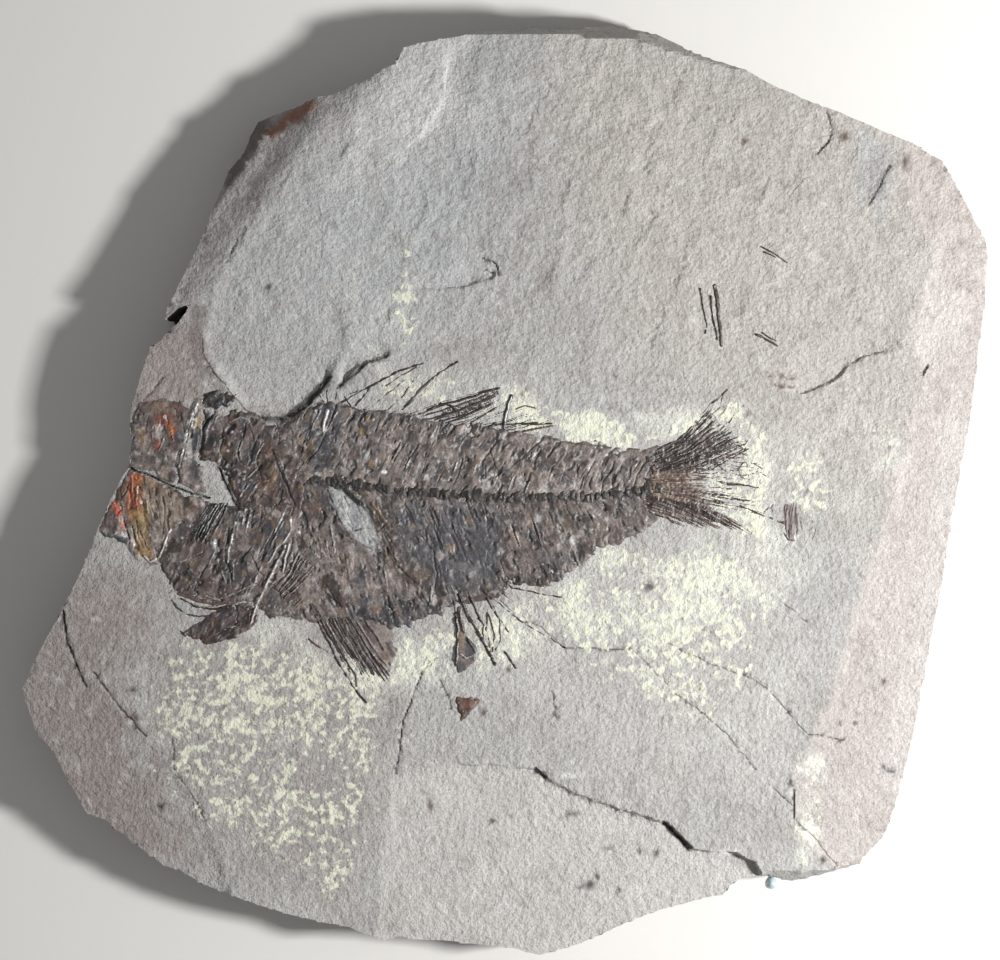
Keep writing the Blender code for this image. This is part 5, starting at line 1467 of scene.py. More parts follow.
def paint_lower_flank(relief, reach):
    relief.base += edge_rise(relief, reach, 0.20, 1.5) + 0.22 * ease(reach, 0.0, 50.0)
    relief.base -= 0.26 * ease(relief.x, 632.0, 668.0)
    patches(relief, (
        ((300, 500, 372, 540, 398, 570, 396, 600, 300, 616, 292, 560), "mauve", 20.0, 0.35),
        ((296, 490, 322, 490, 326, 520, 300, 524), "bone", 6.0, 0.6),
        ((392, 500, 462, 500, 500, 520, 502, 590, 440, 594, 420, 578, 400, 560), "slate", 16.0, 0.62),
        ((404, 564, 432, 564, 430, 584, 406, 582), "tan", 6.0, 0.55),
        ((346, 600, 400, 598, 452, 600, 450, 612, 410, 629, 350, 626), "slate", 8.0, 0.7),
        ((358, 564, 366, 564, 366, 588, 358, 588), "slate", 3.0, 0.7),
        ((342, 492, 366, 504, 380, 520, 398, 546, 394, 560, 378, 540, 360, 514), "black", 5.0, 0.6),
        ((368, 514, 380, 514, 381, 530, 370, 532), "bone", 4.0, 0.7),
        ((510, 524, 520, 528, 520, 548, 510, 546), "tan", 4.0, 0.6),
        ((554, 528, 578, 526, 580, 556, 558, 558), "rock", 9.0, 0.6),
        ((538, 552, 584, 550, 576, 574, 540, 578), "slate", 8.0, 0.5),
        ((588, 518, 604, 516, 604, 534, 590, 536), "tan", 5.0, 0.5),
        ((508, 574, 566, 568, 560, 584, 514, 588), "umber", 4.0, 0.5),
    ))
    scale_cover(relief, 11.0, 0.10, 460, -6.0, 0.8)
    bony(
        relief, 112, 461,
        (("umber", 0.32, 6.0, 0.5), ("rock", 0.32, 6.0, 0.5), ("slate", 0.34, 8.0, 0.45),
            ("wine", 0.32, 7.0, 0.4), ("tan", 0.44, 4.5, 0.4), ("pale", 0.48, 4.0, 0.35)),
        0.09, 0.35, 1.15,
    )
    relief.patch(
        (327, 486, 344, 488, 356, 498, 365, 506, 372, 520, 379, 540, 374, 553, 359, 542, 346, 528, 338, 514,
            331, 502),
        "cool", 3.0, 0.85, -0.05, 0.0,
    )
    relief.mottle(5.0, 0.3, 465)
    relief.flecks(
        "lime", 0.26, 5.0, 464, 60, 1.5, 0.7, 0.0, 0.0,
        ease(outline_reach((334, 492, 352, 500, 368, 522, 374, 548, 350, 526), relief.x, relief.y),
            -4.0, 2.0),
    )
    relief.patch((402, 508, 460, 508, 496, 530, 494, 584, 448, 586, 424, 570, 404, 548), "dim", 14.0, 0.5)
    hair_lines(relief, 462, (
        (16, (330, 500, 480, 512), (9.0, 26.0), 1.4, -0.12, "black", 0.6),
        (14, (336, 502, 480, 514), (8.0, 22.0), 1.3, 0.16, "rock", 0.5),
        (14, (480, 510, 650, 504), (8.0, 13.0), 1.3, -0.12, "black", 0.65),
        (10, (484, 512, 650, 506), (7.0, 11.0), 1.3, 0.14, "rock", 0.5),
        (14, (304, 530, 350, 560), (4.0, 22.0), 1.3, 0.14, "tan", 0.5),
        (12, (306, 532, 390, 580), (4.0, 20.0), 1.3, -0.10, "umber", 0.6),
        (10, (500, 545, 590, 535), (7.0, 14.0), 1.3, -0.10, "black", 0.5),
    ))
    relief.stroke((338, 482, 348, 492, 360, 504), 6.5, 0.12, "black", 0.5, 0.95, wear=0.2)
    relief.stroke((360, 502, 376, 520, 390, 542, 396, 560), 5.0, 0.10, "black", 0.6, 0.8, wear=0.3)
    relief.stroke((370, 500, 380, 514, 391, 529), 4.0, 0.18, "tan", 0.5, 0.8)
    relief.stroke((379, 528, 390, 549, 396, 566), 2.4, 0.16, "tan", 0.5, 0.7)
    dark_lines(relief, (
        (327, 490, 337, 514, 350, 538, 371, 549), (394, 562, 410, 578, 428, 594),
        (450, 519, 456, 535, 462, 549, 466, 560), (434, 558, 437, 575, 434, 594),
        (326, 586, 333, 595, 341, 606), (312, 605, 318, 612, 322, 626), (366, 506, 380, 524, 396, 548),
    ), 2.4, 0.95)
    dark_lines(relief, (
        (354, 531, 363, 528, 371, 528), (344, 496, 350, 508), (412, 518, 420, 532, 428, 546),
        (438, 538, 442, 552), (512, 526, 519, 546), (530, 516, 541, 546), (585, 508, 594, 523),
        (602, 504, 612, 516), (622, 500, 637, 511), (643, 502, 658, 513), (428, 502, 433, 522, 438, 540),
        (405, 504, 414, 524), (470, 512, 477, 530), (466, 500, 470, 514), (566, 508, 574, 520),
        (548, 512, 556, 528), (500, 560, 506, 576), (345, 604, 352, 618), (396, 600, 420, 606),
        (492, 512, 497, 530), (383, 600, 392, 612),
    ), 1.7, 0.8)
    highlight_lines(relief, (
        (384, 571, 387, 584, 387, 598), (376, 496, 378, 502), (330, 524, 333, 540, 336, 556),
        (326, 540, 330, 560), (418, 535, 424, 540, 428, 548), (453, 524, 458, 538), (441, 536, 444, 548),
        (533, 518, 543, 546), (432, 586, 430, 604), (515, 530, 521, 546), (310, 540, 314, 556),
        (463, 516, 466, 526),
    ), 1.6, 0.65)
    relief.patch((320, 576, 330, 573, 336, 582, 330, 592, 322, 588), "umber", 3.0, 0.85, -0.05)
    for centre, radii, stain in (
        ((440, 555), (5, 7), "pink"), ((451, 548), (8, 7), "tan"), ((538, 518), (6, 6), "pale"),
        ((412, 526), (4, 5), "tan"), ((432, 520), (3, 6), "tan"), ((470, 520), (6, 6), "tan"),
        ((376, 610), (6, 7), "tan"), ((434, 600), (4, 7), "pink"), ((441, 602), (3, 5), "black"),
        ((368, 600), (5, 5), "slate"), ((572, 540), (5, 6), "pale"), ((348, 548), (5, 8), "rock"),
        ((312, 560), (5, 8), "rock"), ((332, 612), (6, 6), "rock"),
    ):
        relief.spot(centre, radii, stain, 0.75, 0.03, 0.5)
    relief.colour *= (0.92 - 0.1 * ease(relief.x, 420.0, 560.0))[:, None]


def paint_spine(relief, reach):
    relief.base += edge_rise(relief, reach, 0.22, 2.2) + 0.2 * ease(reach, 1.0, 11.0)
    far, share = line_reach(SPINE, relief.wave_x, relief.wave_y)
    bony(
        relief, 80, 472, (("umber", 0.1, 7.0, 0.6), ("film", 0.34, 5.0, 0.5), ("tan", 0.44, 4.0, 0.45)),
        0.10, 0.4, 0.9,
    )
    band = 1.0 - ease(far, 3.0, 9.0)
    kept = ease(fractal(relief.x, relief.y, 20.0, 471), -0.6, -0.1) * (0.2 + 0.8 * ease(share, 0.3, 0.75))
    relief.colour *= (0.78 - 0.5 * band)[:, None]
    phase = share * VERTEBRAE + 0.2 * fractal(relief.x, relief.y, 12.0, 470)
    waist = np.abs(phase - np.floor(phase) - 0.5) * 2.0
    joint = ease(waist, 0.62, 0.95) * kept * (far < 6.5)
    relief.groove = np.minimum(relief.groove, -0.12 * joint)
    relief.colour += (COLOUR["black"] - relief.colour) * (0.85 * joint)[:, None]
    rim = ease(waist, 0.3, 0.55) * (1.0 - ease(waist, 0.6, 0.75)) * kept * band
    relief.colour += (COLOUR["film"] - relief.colour) * (0.3 * rim)[:, None]
    relief.base += 0.08 * (1.0 - waist) * kept * band
    relief.gloss += 0.5 * rim
    for x, y in pairs((593, 495, 607, 493, 623, 489, 638, 487, 652, 484, 392, 488, 406, 489)):
        relief.stroke((x, y - 6, x + 1, y + 5), 4.2, -0.25, "black", 0.2, 1.0, wear=0.1)


def paint_dorsal(relief, reach):
    relief.base -= SHEET_SINK
    relief.mottle(6.0, 0.4, 480)
    relief.patch((424, 416, 462, 400, 498, 387, 503, 394, 480, 412, 450, 422), "plum", 6.0, 0.4, 0.12)
    relief.patch((500, 424, 530, 416, 552, 424, 540, 436, 510, 436), "mud", 6.0, 0.6, 0.06)
    relief.fan((410, 414, 446, 424), (486, 390, 502, 400), 7, 1.6, 0.26, "umber", 0.5, 481)
    relief.fan((446, 424, 500, 434), (508, 402, 552, 424), 12, 1.4, 0.22, "umber", 0.5, 482)
    relief.fan((344, 408, 392, 414), (366, 388, 412, 380), 6, 1.2, 0.20, "bone", 0.4, 483, spread=4.0)
    relief.strokes((
        ((342, 403, 362, 391, 384, 379, 404, 369, 423, 363), 2.4, 0.34, "umber", 0.5),
        ((386, 386, 400, 376, 417, 367), 1.6, 0.30, "bone", 0.6),
        ((344, 396, 366, 389, 382, 381), 1.6, 0.28, "umber", 0.5),
        ((356, 406, 364, 396, 370, 388), 2.0, 0.30, "umber", 0.4),
        ((374, 404, 392, 390, 404, 380), 1.5, 0.28, "bone", 0.4),
        ((388, 410, 404, 395, 414, 380), 1.5, 0.28, "umber", 0.4),
        ((403, 410, 422, 388, 440, 372, 458, 362), 2.8, 0.36, "umber", 0.6),
        ((408, 403, 426, 384, 444, 370), 1.2, 0.38, "film", 0.9),
        ((480, 368, 477, 380), 1.8, 0.24, "umber", 0.4),
        ((420, 414, 444, 404, 470, 397, 500, 387), 2.6, 0.34, "umber", 0.5),
        ((428, 410, 440, 404, 450, 405, 456, 409), 1.8, 0.30, "umber", 0.4),
        ((470, 424, 488, 412, 504, 404), 1.8, 0.30, "umber", 0.4),
        ((486, 430, 494, 424, 520, 424, 552, 424), 2.4, 0.28, "umber", 0.4),
        ((516, 409, 524, 406, 536, 408), 2.4, 0.20, "plum", 0.4),
        ((508, 436, 528, 430, 553, 426), 2.0, 0.26, "bone", 0.4),
        ((320, 384, 320, 394, 325, 406), 1.8, 0.28, "umber", 0.4),
        ((327, 390, 328, 404), 1.6, 0.24, "umber", 0.4), ((337, 388, 336, 400), 1.6, 0.26, "umber", 0.4),
        ((345, 397, 351, 407), 2.0, 0.26, "umber", 0.4),
        ((511, 396, 508, 409, 504, 423), 4.6, 0.40, "slate", 0.8),
        ((511, 398, 508, 410, 505, 420), 1.6, 0.50, "pale", 1.0),
        ((503, 423, 504, 432, 508, 446), 2.2, 0.36, "black", 0.8),
    ))


def paint_tail(relief, reach):
    relief.base -= SHEET_SINK
    relief.patch(
        (630, 464, 664, 446, 690, 434, 712, 428, 716, 446, 702, 460, 688, 478, 706, 500, 716, 518, 690, 516,
            650, 512),
        None, 8.0, 1.0, 0.15, 0.3, 4.0,
    )
    relief.patch(
        (626, 462, 664, 446, 692, 440, 700, 452, 680, 480, 700, 504, 684, 512, 640, 512), "plum", 22.0, 1.0,
    )
    relief.patch((652, 474, 700, 466, 710, 470, 710, 480, 660, 488), "bone", 6.0, 0.6)
    relief.mottle(6.0, 0.4, 491)
    for foot, count, width, rise, stain, seed in (
        ((644, 454), 22, 1.5, 0.28, "umber", 492), ((648, 455), 20, 1.2, 0.32, "rock", 493),
        ((660, 456), 16, 1.4, 0.30, "umber", 487), ((650, 456), 20, 1.3, 0.20, "black", 499),
    ):
        far = (foot[0] + 10, foot[1] + 20)
        relief.fan(
            (*foot, *far), (708, 412, 746, 450), count, width, rise, stain, 0.7, seed, (1.2, 0.8), 0.06,
            2.0,
        )
    relief.fan(
        (700, 436, 706, 462), (726, 410, 764, 474), 14, 1.4, 0.24, "umber", 0.4, 488, (1.0, 0.6), 0.04,
    )
    relief.fan((668, 470, 672, 484), (714, 460, 716, 484), 8, 1.5, 0.22, "umber", 0.4, 494, (1.1, 0.7))
    for foot, count, width, rise, stain, seed in (
        ((650, 486), 13, 1.5, 0.30, "umber", 495), ((654, 487), 10, 1.2, 0.32, "bone", 497),
        ((656, 488), 14, 1.4, 0.20, "black", 496), ((660, 489), 9, 1.1, 0.34, "rock", 498),
    ):
        low = (foot[0] - 10, foot[1] + 22)
        relief.fan(
            (*foot, *low), (750, 530, 690, 526), count, width, rise, stain, 0.6, seed, (1.2, 0.8), -0.03,
            3.0,
        )
    relief.fan((690, 492, 694, 502), (760, 500, 764, 516), 5, 1.4, 0.24, "umber", 0.4, 489, (1.0, 0.6))
    relief.fan(
        (646, 478, 648, 500), (724, 496, 728, 526), 16, 1.5, 0.32, "umber", 0.5, 484, (1.2, 0.7), 0.0, 2.0,
    )
    relief.fan(
        (654, 472, 658, 486), (738, 468, 744, 500), 12, 1.4, 0.28, "plum", 0.5, 485, (1.2, 0.6), 0.0, 3.0,
    )
    relief.fan(
        (650, 474, 654, 496), (704, 470, 712, 506), 14, 1.3, 0.34, "tan", 0.5, 486, (1.1, 0.7), 0.0, 2.0,
    )
    relief.strokes((
        ((704, 412, 710, 404, 718, 400), 2.6, 0.28, "umber", 0.5),
        ((706, 416, 711, 409), 2.0, 0.28, "umber", 0.5),
        ((718, 400, 722, 396, 728, 390), 2.4, 0.28, "umber", 0.5),
        ((722, 402, 724, 394), 1.6, 0.26, "umber", 0.5),
        ((712, 414, 722, 407, 731, 408), 1.8, 0.24, "plum", 0.5),
        ((728, 424, 734, 416, 744, 406), 1.6, 0.26, "umber", 0.4),
        ((716, 458, 718, 466, 726, 472, 738, 470, 744, 462), 1.8, 0.24, "umber", 0.4),
        ((718, 460, 728, 458, 742, 458, 754, 464, 764, 470), 1.6, 0.24, "bone", 0.4),
        ((730, 474, 744, 476, 758, 472, 766, 476), 1.6, 0.22, "bone", 0.4),
        ((736, 452, 746, 456, 756, 454), 1.4, 0.22, "bone", 0.4),
        ((714, 480, 722, 484, 738, 485, 758, 487), 2.4, 0.26, "umber", 0.4),
        ((712, 476, 714, 484), 2.6, 0.24, "umber", 0.4),
        ((712, 494, 726, 496, 740, 500, 762, 502), 2.2, 0.24, "umber", 0.4),
        ((740, 506, 750, 510, 764, 516), 2.2, 0.26, "umber", 0.4),
        ((738, 468, 742, 478, 750, 480), 1.4, 0.22, "bone", 0.4),
        ((746, 462, 750, 470, 748, 478), 1.4, 0.22, "bone", 0.4),
        ((744, 446, 748, 440), 1.6, 0.22, "umber", 0.4),
        ((764, 512, 770, 506, 772, 512), 1.6, 0.22, "umber", 0.4),
        ((728, 512, 730, 522, 736, 526), 1.5, 0.24, "umber", 0.4),
    ))


def paint_pelvic(relief, reach):
    relief.base -= SHEET_SINK
    relief.patch(
        (316, 610, 368, 608, 394, 628, 398, 652, 390, 676, 372, 672, 346, 652, 324, 632), None, 6.0, 1.0,
        0.15, None, 4.0,
    )
    relief.patch(
        (320, 612, 366, 608, 384, 630, 384, 654, 378, 672, 346, 648, 326, 628), "plum", 22.0, 0.9, 0.0,
        None, 4.0,
    )
    relief.flecks("umber", 0.05, 6.0, 500, -55, 3.0, 0.75)
    relief.flecks("rock", 0.24, 5.0, 504, -55, 2.2, 0.5)
    relief.mottle(8.0, 0.3, 501)
    relief.fan((320, 618, 352, 618), (350, 672, 390, 680), 14, 1.9, 0.26, "black", 0.5, 502, (1.2, 0.8))
    relief.fan((326, 622, 356, 620), (356, 676, 388, 668), 8, 1.2, 0.30, "rock", 0.7, 503, (1.1, 0.6))
    relief.strokes((
        ((315, 615, 325, 635, 340, 665, 352, 685, 366, 703), 2.6, 0.36, "black", 0.6),
        ((318, 614, 330, 636, 344, 662), 1.2, 0.38, "film", 0.8),
        ((328, 634, 344, 656, 356, 676, 357, 686), 2.0, 0.32, "umber", 0.5),
        ((334, 630, 352, 652, 366, 668), 2.4, 0.26, "umber", 0.5),
        ((308, 639, 317, 646, 328, 652), 3.0, 0.26, "wine", 0.4),
        ((312, 604, 318, 610, 322, 618), 2.6, 0.28, "black", 0.4),
        ((362, 616, 374, 632, 384, 650), 2.0, 0.24, "umber", 0.4),
    ))
    relief.spot((385, 656), (8, 6), "bone", 0.7, 0.02)


def paint_anal(relief, reach):
    relief.base -= SHEET_SINK
    relief.patch(
        (457, 606, 463, 606, 465, 632, 475, 646, 476, 660, 466, 671, 458, 673, 455, 664, 457, 640), "mud",
        2.0, 0.95, 0.30, 0.5,
    )
    relief.patch((466, 634, 476, 646, 476, 662, 466, 656), "slate", 3.0, 0.7)
    relief.patch((455, 660, 464, 662, 468, 670, 458, 673), "slate", 3.0, 0.7)
    relief.spot((461, 640), (3.0, 16), "tan", 0.6, 0.04, 0.6)
    relief.patch((442, 576, 500, 582, 500, 598, 470, 606, 450, 602), "plum", 6.0, 0.6, 0.14)
    relief.strokes((
        ((446, 586, 454, 602, 457, 624, 457, 646, 455, 666), 2.6, 0.38, "black", 0.6),
        ((450, 582, 456, 596), 2.0, 0.30, "rock", 0.6),
        ((460, 612, 463, 630, 470, 642, 475, 652), 1.8, 0.34, "umber", 0.5),
        ((460, 654, 466, 658, 473, 656), 1.3, 0.38, "pale", 0.9),
        ((458, 594, 466, 610, 480, 636, 490, 654, 495, 664), 3.4, 0.38, "black", 0.6),
        ((461, 602, 471, 622, 484, 646), 1.4, 0.42, "bone", 0.9),
        ((470, 596, 477, 612, 484, 626, 483, 642), 2.4, 0.32, "umber", 0.5),
        ((479, 618, 485, 626), 3.0, 0.30, "black", 0.5),
        ((488, 612, 487, 630, 491, 652), 1.8, 0.30, "umber", 0.6),
        ((489, 614, 495, 634, 493, 652), 1.6, 0.30, "umber", 0.5),
        ((488, 634, 490, 648), 2.0, 0.24, "tan", 0.5),
        ((494, 606, 500, 624, 501, 640, 496, 650), 1.8, 0.28, "plum", 0.5),
        ((487, 598, 496, 614, 509, 632), 1.8, 0.30, "umber", 0.5),
        ((484, 592, 500, 604, 520, 621, 545, 635, 563, 647), 1.4, 0.28, "umber", 0.5),
        ((518, 620, 524, 623), 2.2, 0.26, "umber", 0.5),
        ((498, 590, 512, 600, 525, 605), 1.8, 0.26, "umber", 0.4),
        ((506, 581, 512, 588, 534, 592, 546, 595, 562, 597), 2.2, 0.28, "umber", 0.4),
        ((504, 651, 510, 660, 516, 668), 2.8, 0.34, "umber", 0.5),
        ((560, 645, 565, 648), 3.0, 0.30, "black", 0.5),
    ))
    relief.spot((509, 671), (3.5, 3.0), "plum", 0.8, 0.1)


def paint_scrap(relief, reach):
    relief.base -= SHEET_SINK
    relief.mottle(6.0, 0.3, 512)
    relief.patch((784, 504, 796, 500, 799, 520, 796, 546, 786, 536), "plum", 9.0, 0.5, 0.17)
    relief.fan((785, 506, 796, 502), (786, 534, 796, 544), 6, 1.5, 0.18, "plum", 0.4, 510, spread=2.0)
    relief.fan((797, 514, 802, 516), (797, 534, 806, 546), 4, 1.6, 0.18, "plum", 0.4, 511, spread=1.5)
    relief.fan((806, 487, 812, 487), (806, 497, 812, 497), 3, 1.2, 0.16, "plum", 0.4, 513, spread=0.5)
    relief.strokes((
        ((770, 518, 778, 522, 785, 523), 4.0, 0.18, "plum", 0.4),
        ((773, 505, 768, 512), 2.6, 0.18, "plum", 0.4),
        ((764, 496, 770, 500, 775, 503), 1.6, 0.16, "mud", 0.4),
        ((812, 520, 816, 530, 812, 542), 2.0, 0.18, "plum", 0.4),
        ((808, 526, 811, 540), 1.5, 0.16, "mud", 0.4),
        ((784, 534, 788, 540, 794, 541), 2.2, 0.18, "plum", 0.4),
        ((782, 548, 784, 562, 790, 566, 800, 566), 1.8, 0.14, "mud", 0.4),
        ((794, 548, 802, 554, 803, 562), 2.2, 0.16, "plum", 0.4),
        ((809, 547, 808, 560), 2.4, 0.16, "mud", 0.4), ((811, 559, 816, 561), 1.6, 0.14, "plum", 0.4),
    ))


def paint_bone_scrap(relief, reach):
    relief.base += edge_rise(relief, reach, 0.2, 0.4)
    relief.patch((466, 694, 484, 700, 474, 714, 460, 724), "red", 6.0, 0.25)
    bony(relief, 70, 520, (("umber", 0.2, 6.0, 0.6), ("film", 0.3, 5.0, 0.5)), 0.08, 0.3)


STRAYS = {
    "stray_ray_1": ((700, 288, 703, 306, 707, 327), 2.4, (706, 330, 705, 338)),
    "stray_ray_2": ((715, 286, 717, 300, 719, 322, 722, 346), 6.5, (711, 296, 713, 318, 718, 340)),
    "stray_ray_3": ((756, 334, 766, 339, 778, 346), 4.0, (762, 333, 770, 338, 776, 341)),
    "stray_ray_4": ((761, 247, 774, 254, 788, 263), 2.4, (764, 252, 776, 258)),
}

# Room round the line of a loose ray, in plan units.
STRAY_MARGIN = 4

# Each sheet of fossil: outline, painter, first stain, material slot, frame nodes, and seed.
SHEETS = {
    "skull_bones": (SKULL, paint_skull, "rock", "dark_bone", ("skull",), 201),
    "skull_roof_chip": (SKULL_CHIP, paint_chip, "umber", "dark_bone", ("skull_chip",), 202),
    "cranium_bones": (CRANIUM, paint_cranium, "plum", "dark_bone", ("cranium",), 203),
    "jaw_bones": (JAWS, paint_jaws, "rock", "rust_bone", ("jaws",), 204),
    "gill_bones": (GILL_COVER, paint_gill_cover, "mud", "rust_bone", ("gill_cover",), 205),
    "throat_bones": (THROAT, paint_throat, "plum", "rust_bone", ("throat_rays", "throat_plate"), 206),
    "pectoral_rays": (PECTORAL_FIN, paint_pectoral, "mud", "fin_bone", ("pectoral_fin",), 207),
    "upper_scales": (UPPER_FLANK, paint_upper_flank, "mud", "scaled_skin", ("upper_flank",), 208),
    "lower_scales": (LOWER_FLANK, paint_lower_flank, "mud", "scaled_skin", ("lower_flank",), 209),
    "vertebrae": (SPINE_FIELD, paint_spine, "dusk", "spine_bone", ("backbone",), 210),
    "dorsal_rays": (DORSAL_FIN, paint_dorsal, "umber", "fin_bone", ("dorsal_fin",), 211),
    "tail_rays": (TAIL_FIN, paint_tail, "mud", "fin_bone", ("tail_fin",), 212),
    "pelvic_rays": (PELVIC_FIN, paint_pelvic, "rock", "fin_bone", ("pelvic_fin",), 213),
    "anal_rays": (ANAL_FIN, paint_anal, "umber", "fin_bone", ("anal_fin",), 214),
    "tail_ray_scrap": (
        (764, 494, 800, 492, 812, 484, 822, 500, 822, 568, 782, 572, 768, 530),
        paint_scrap, "mauve", "fin_bone", ("tail_scrap",), 215,
    ),
    "bone_flake": ((453, 692, 482, 699, 474, 714, 458, 726), paint_bone_scrap, "bone", "fin_bone",
                   ("bone_scrap",), 216),
}


def make_sheets(names, settings):
    """Makes the named sheets of fossil."""
    for name in names:
        outline, paint, stain, slot, nodes, seed = SHEETS[name]
        material = fossil_bone(f"{name}_bone", settings, settings.bone_grit, settings.bone_bump)
        fossil_sheet(name, outline, paint, settings.cell, material, nodes, stain, seed)


def make_strays(settings):
    """The loose rays, each a splinter of its own."""
    material = fossil_bone("loose_ray_bone", settings, settings.bone_grit, settings.bone_bump)
    for node_name, (line, width, splinter) in STRAYS.items():
        left, right = min(line[::2]) - STRAY_MARGIN, max(line[::2]) + STRAY_MARGIN
        top, low = min(line[1::2]) - STRAY_MARGIN, max(line[1::2]) + STRAY_MARGIN
        outline = (left, top, right, top, right, low, left, low)

        def paint(relief, reach):
            relief.base -= SHEET_SINK
            relief.stroke(line, width, 0.40, "umber", 0.5, 1.0, (0.8, 0.5), 0.2)
            relief.stroke(line, 0.25 * width, -0.1, "mud", 0.5, 0.5, wear=0.2)
            relief.stroke(splinter, 2.2, 0.40, "umber", 0.5, 1.0, (1.0, 0.5), 0.2)

        fossil_sheet(
            f"loose_{node_name}", outline, paint, settings.cell, material, (node_name,), "umber",
        )


def make_glue():
    """The bead of clear glue in the broken lower edge, rounded where it set."""
    low, high = (Vector(corner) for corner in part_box("glue_bead"))
    bm = bmesh.new()
    bmesh.ops.create_icosphere(bm, subdivisions=4, radius=1.0)
    half = (high - low) / 2
    bmesh.ops.scale(bm, vec=half, verts=bm.verts)
    for vert in bm.verts:
        pinch = 1.0 - 0.35 * (vert.co.z / half.z)
        vert.co.x *= 1.0 - 0.3 * vert.co.y / half.y
        vert.co.y *= 0.5 + 0.5 * pinch
    bmesh.ops.translate(bm, vec=(low + high) / 2, verts=bm.verts)
    made, tree, shader, place = new_material("clear_glue")
    shader.inputs["Base Color"].default_value = (*linear("CFE2E6"), 1.0)
    shader.inputs["Roughness"].default_value = 0.18
    shader.inputs["Transmission Weight"].default_value = 0.35
    cloud = node(tree, "ShaderNodeTexNoise", None, {"Vector": place, "Scale": 1 / (0.8 * MM), "Detail": 2.0})
    bump = node(tree, "ShaderNodeBump", None, {
        "Height": cloud.outputs["Fac"], "Strength": 0.4, "Distance": 0.1 * MM,
    })
    tree.links.new(bump.outputs[0], shader.inputs["Normal"])
    bead = finished("glue_drop", bm, made)
    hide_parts("glue_bead")


# The stage

CAMERA_HEIGHT = 0.45
FLOOR_GAP = 0.00002
FILL_SIZE = 0.5
FILL_PLACE = Vector((-0.5, 0.2, 0.5))


def make_stage(settings):
    """A pale floor, a soft lamp to the right and a faint sky, and a camera straight above."""
    bm = bmesh.new()
    bmesh.ops.create_grid(bm, x_segments=1, y_segments=1, size=settings.floor_size / 2)
    floor_material, tree, shader, place = new_material("pale_paper_floor")
    fibre = node(tree, "ShaderNodeTexNoise", None, {"Vector": place, "Scale": 1 / (1.5 * MM), "Detail": 3.0})
    bump = node(tree, "ShaderNodeBump", None, {
        "Height": fibre.outputs["Fac"], "Strength": 0.15, "Distance": 0.1 * MM,
    })
    tree.links.new(bump.outputs[0], shader.inputs["Normal"])
    shader.inputs["Base Color"].default_value = (*settings.floor_colour, 1.0)
    shader.inputs["Roughness"].default_value = 0.9
    mesh = bpy.data.meshes.new("floor")
    bm.to_mesh(mesh)
    bm.free()
    mesh.materials.append(floor_material)
    floor = bpy.data.objects.new("floor", mesh)
    floor.location.z = -FLOOR_GAP
    bpy.context.scene.collection.objects.link(floor)
    add_lamp("key_lamp", settings.key_power, settings.key_size, Vector(settings.key_place))
    add_lamp("fill_lamp", settings.fill_power, FILL_SIZE, FILL_PLACE)
    world = bpy.data.worlds.new("studio")
    world.use_nodes = True
    background = world.node_tree.nodes["Background"]
    background.inputs["Color"].default_value = (1.0, 1.0, 1.0, 1.0)
    background.inputs["Strength"].default_value = settings.sky
    bpy.context.scene.world = world
    bpy.context.scene.view_settings.view_transform = "Standard"
    camera = bpy.data.objects.new("camera", bpy.data.cameras.new("camera"))
    bpy.context.scene.collection.objects.link(camera)
    camera.location = on_plan(PHOTO_SIZE[0] / 2, PHOTO_SIZE[1] / 2, SLAB_HIGH.z + CAMERA_HEIGHT)
    camera.data.sensor_fit = "HORIZONTAL"
    camera.data.angle = 2 * math.atan(PHOTO_SIZE[0] * UNIT / 2 / CAMERA_HEIGHT)
    camera.data.clip_start = 0.01
    bpy.context.scene.camera = camera


def add_lamp(name, power, size, place):
    """A square soft lamp at a place, turned towards the slab."""
    lamp = bpy.data.lights.new(name, "AREA")
    lamp.energy = power
    lamp.size = size
    made = bpy.data.objects.new(name, lamp)
    made.location = place
    made.rotation_euler = place.to_track_quat("Z", "Y").to_euler()
    bpy.context.scene.collection.objects.link(made)


# Settings, operators and panel


def length(name, description, default):
    """A length that a user may change."""
    return bpy.props.FloatProperty(
        name=name, description=description, default=default, min=0.0, precision=5, unit="LENGTH",
        subtype="DISTANCE",
    )


def number(name, description, default):
    """A plain number that a user may change."""
    return bpy.props.FloatProperty(name=name, description=description, default=default, min=0.0, precision=3)


def angle(name, description, degrees):
    """An angle that a user may change."""
    return bpy.props.FloatProperty(
        name=name, description=description, default=math.radians(degrees), unit="ROTATION", subtype="ANGLE",
    )


def place(name, description, where):
    """A place that a user may change."""
    return bpy.props.FloatVectorProperty(
        name=name, description=description, default=where, size=3, unit="LENGTH", subtype="TRANSLATION",
    )


def colour(name, description, hex_colour):
    """A colour that a user may change."""
    return bpy.props.FloatVectorProperty(
        name=name, description=description, default=linear(hex_colour), size=3, min=0.0, max=1.0,
        subtype="COLOR",
    )


class StoneSettings(bpy.types.PropertyGroup):
    """The shale slab."""

    cell: length("Cell", "Size of the cells of the slab's face", 0.00067)
    grit: length("Grit", "Size of the finest grain, drawn as coarse as it needs to show", 0.00032)
    scratch: length("Streak", "Width of the streaks that the splitting left", 0.0011)
    pits: length("Pits", "Size of the small pits and bumps of the face", 0.0008)
    cloud: length("Cloud", "Size of the uneven patches of tone", 0.009)
    bloom_size: length("Bloom", "Size of the specks of yellow mineral", 0.0012)
    bump_depth: length("Grain depth", "Depth of the grain", 0.00021)
    grain_turn: angle("Grain turn", "Turn of the streaks", -62)
    bloom_colour: colour("Bloom colour", "Colour of the yellow mineral", "D9DAC6")


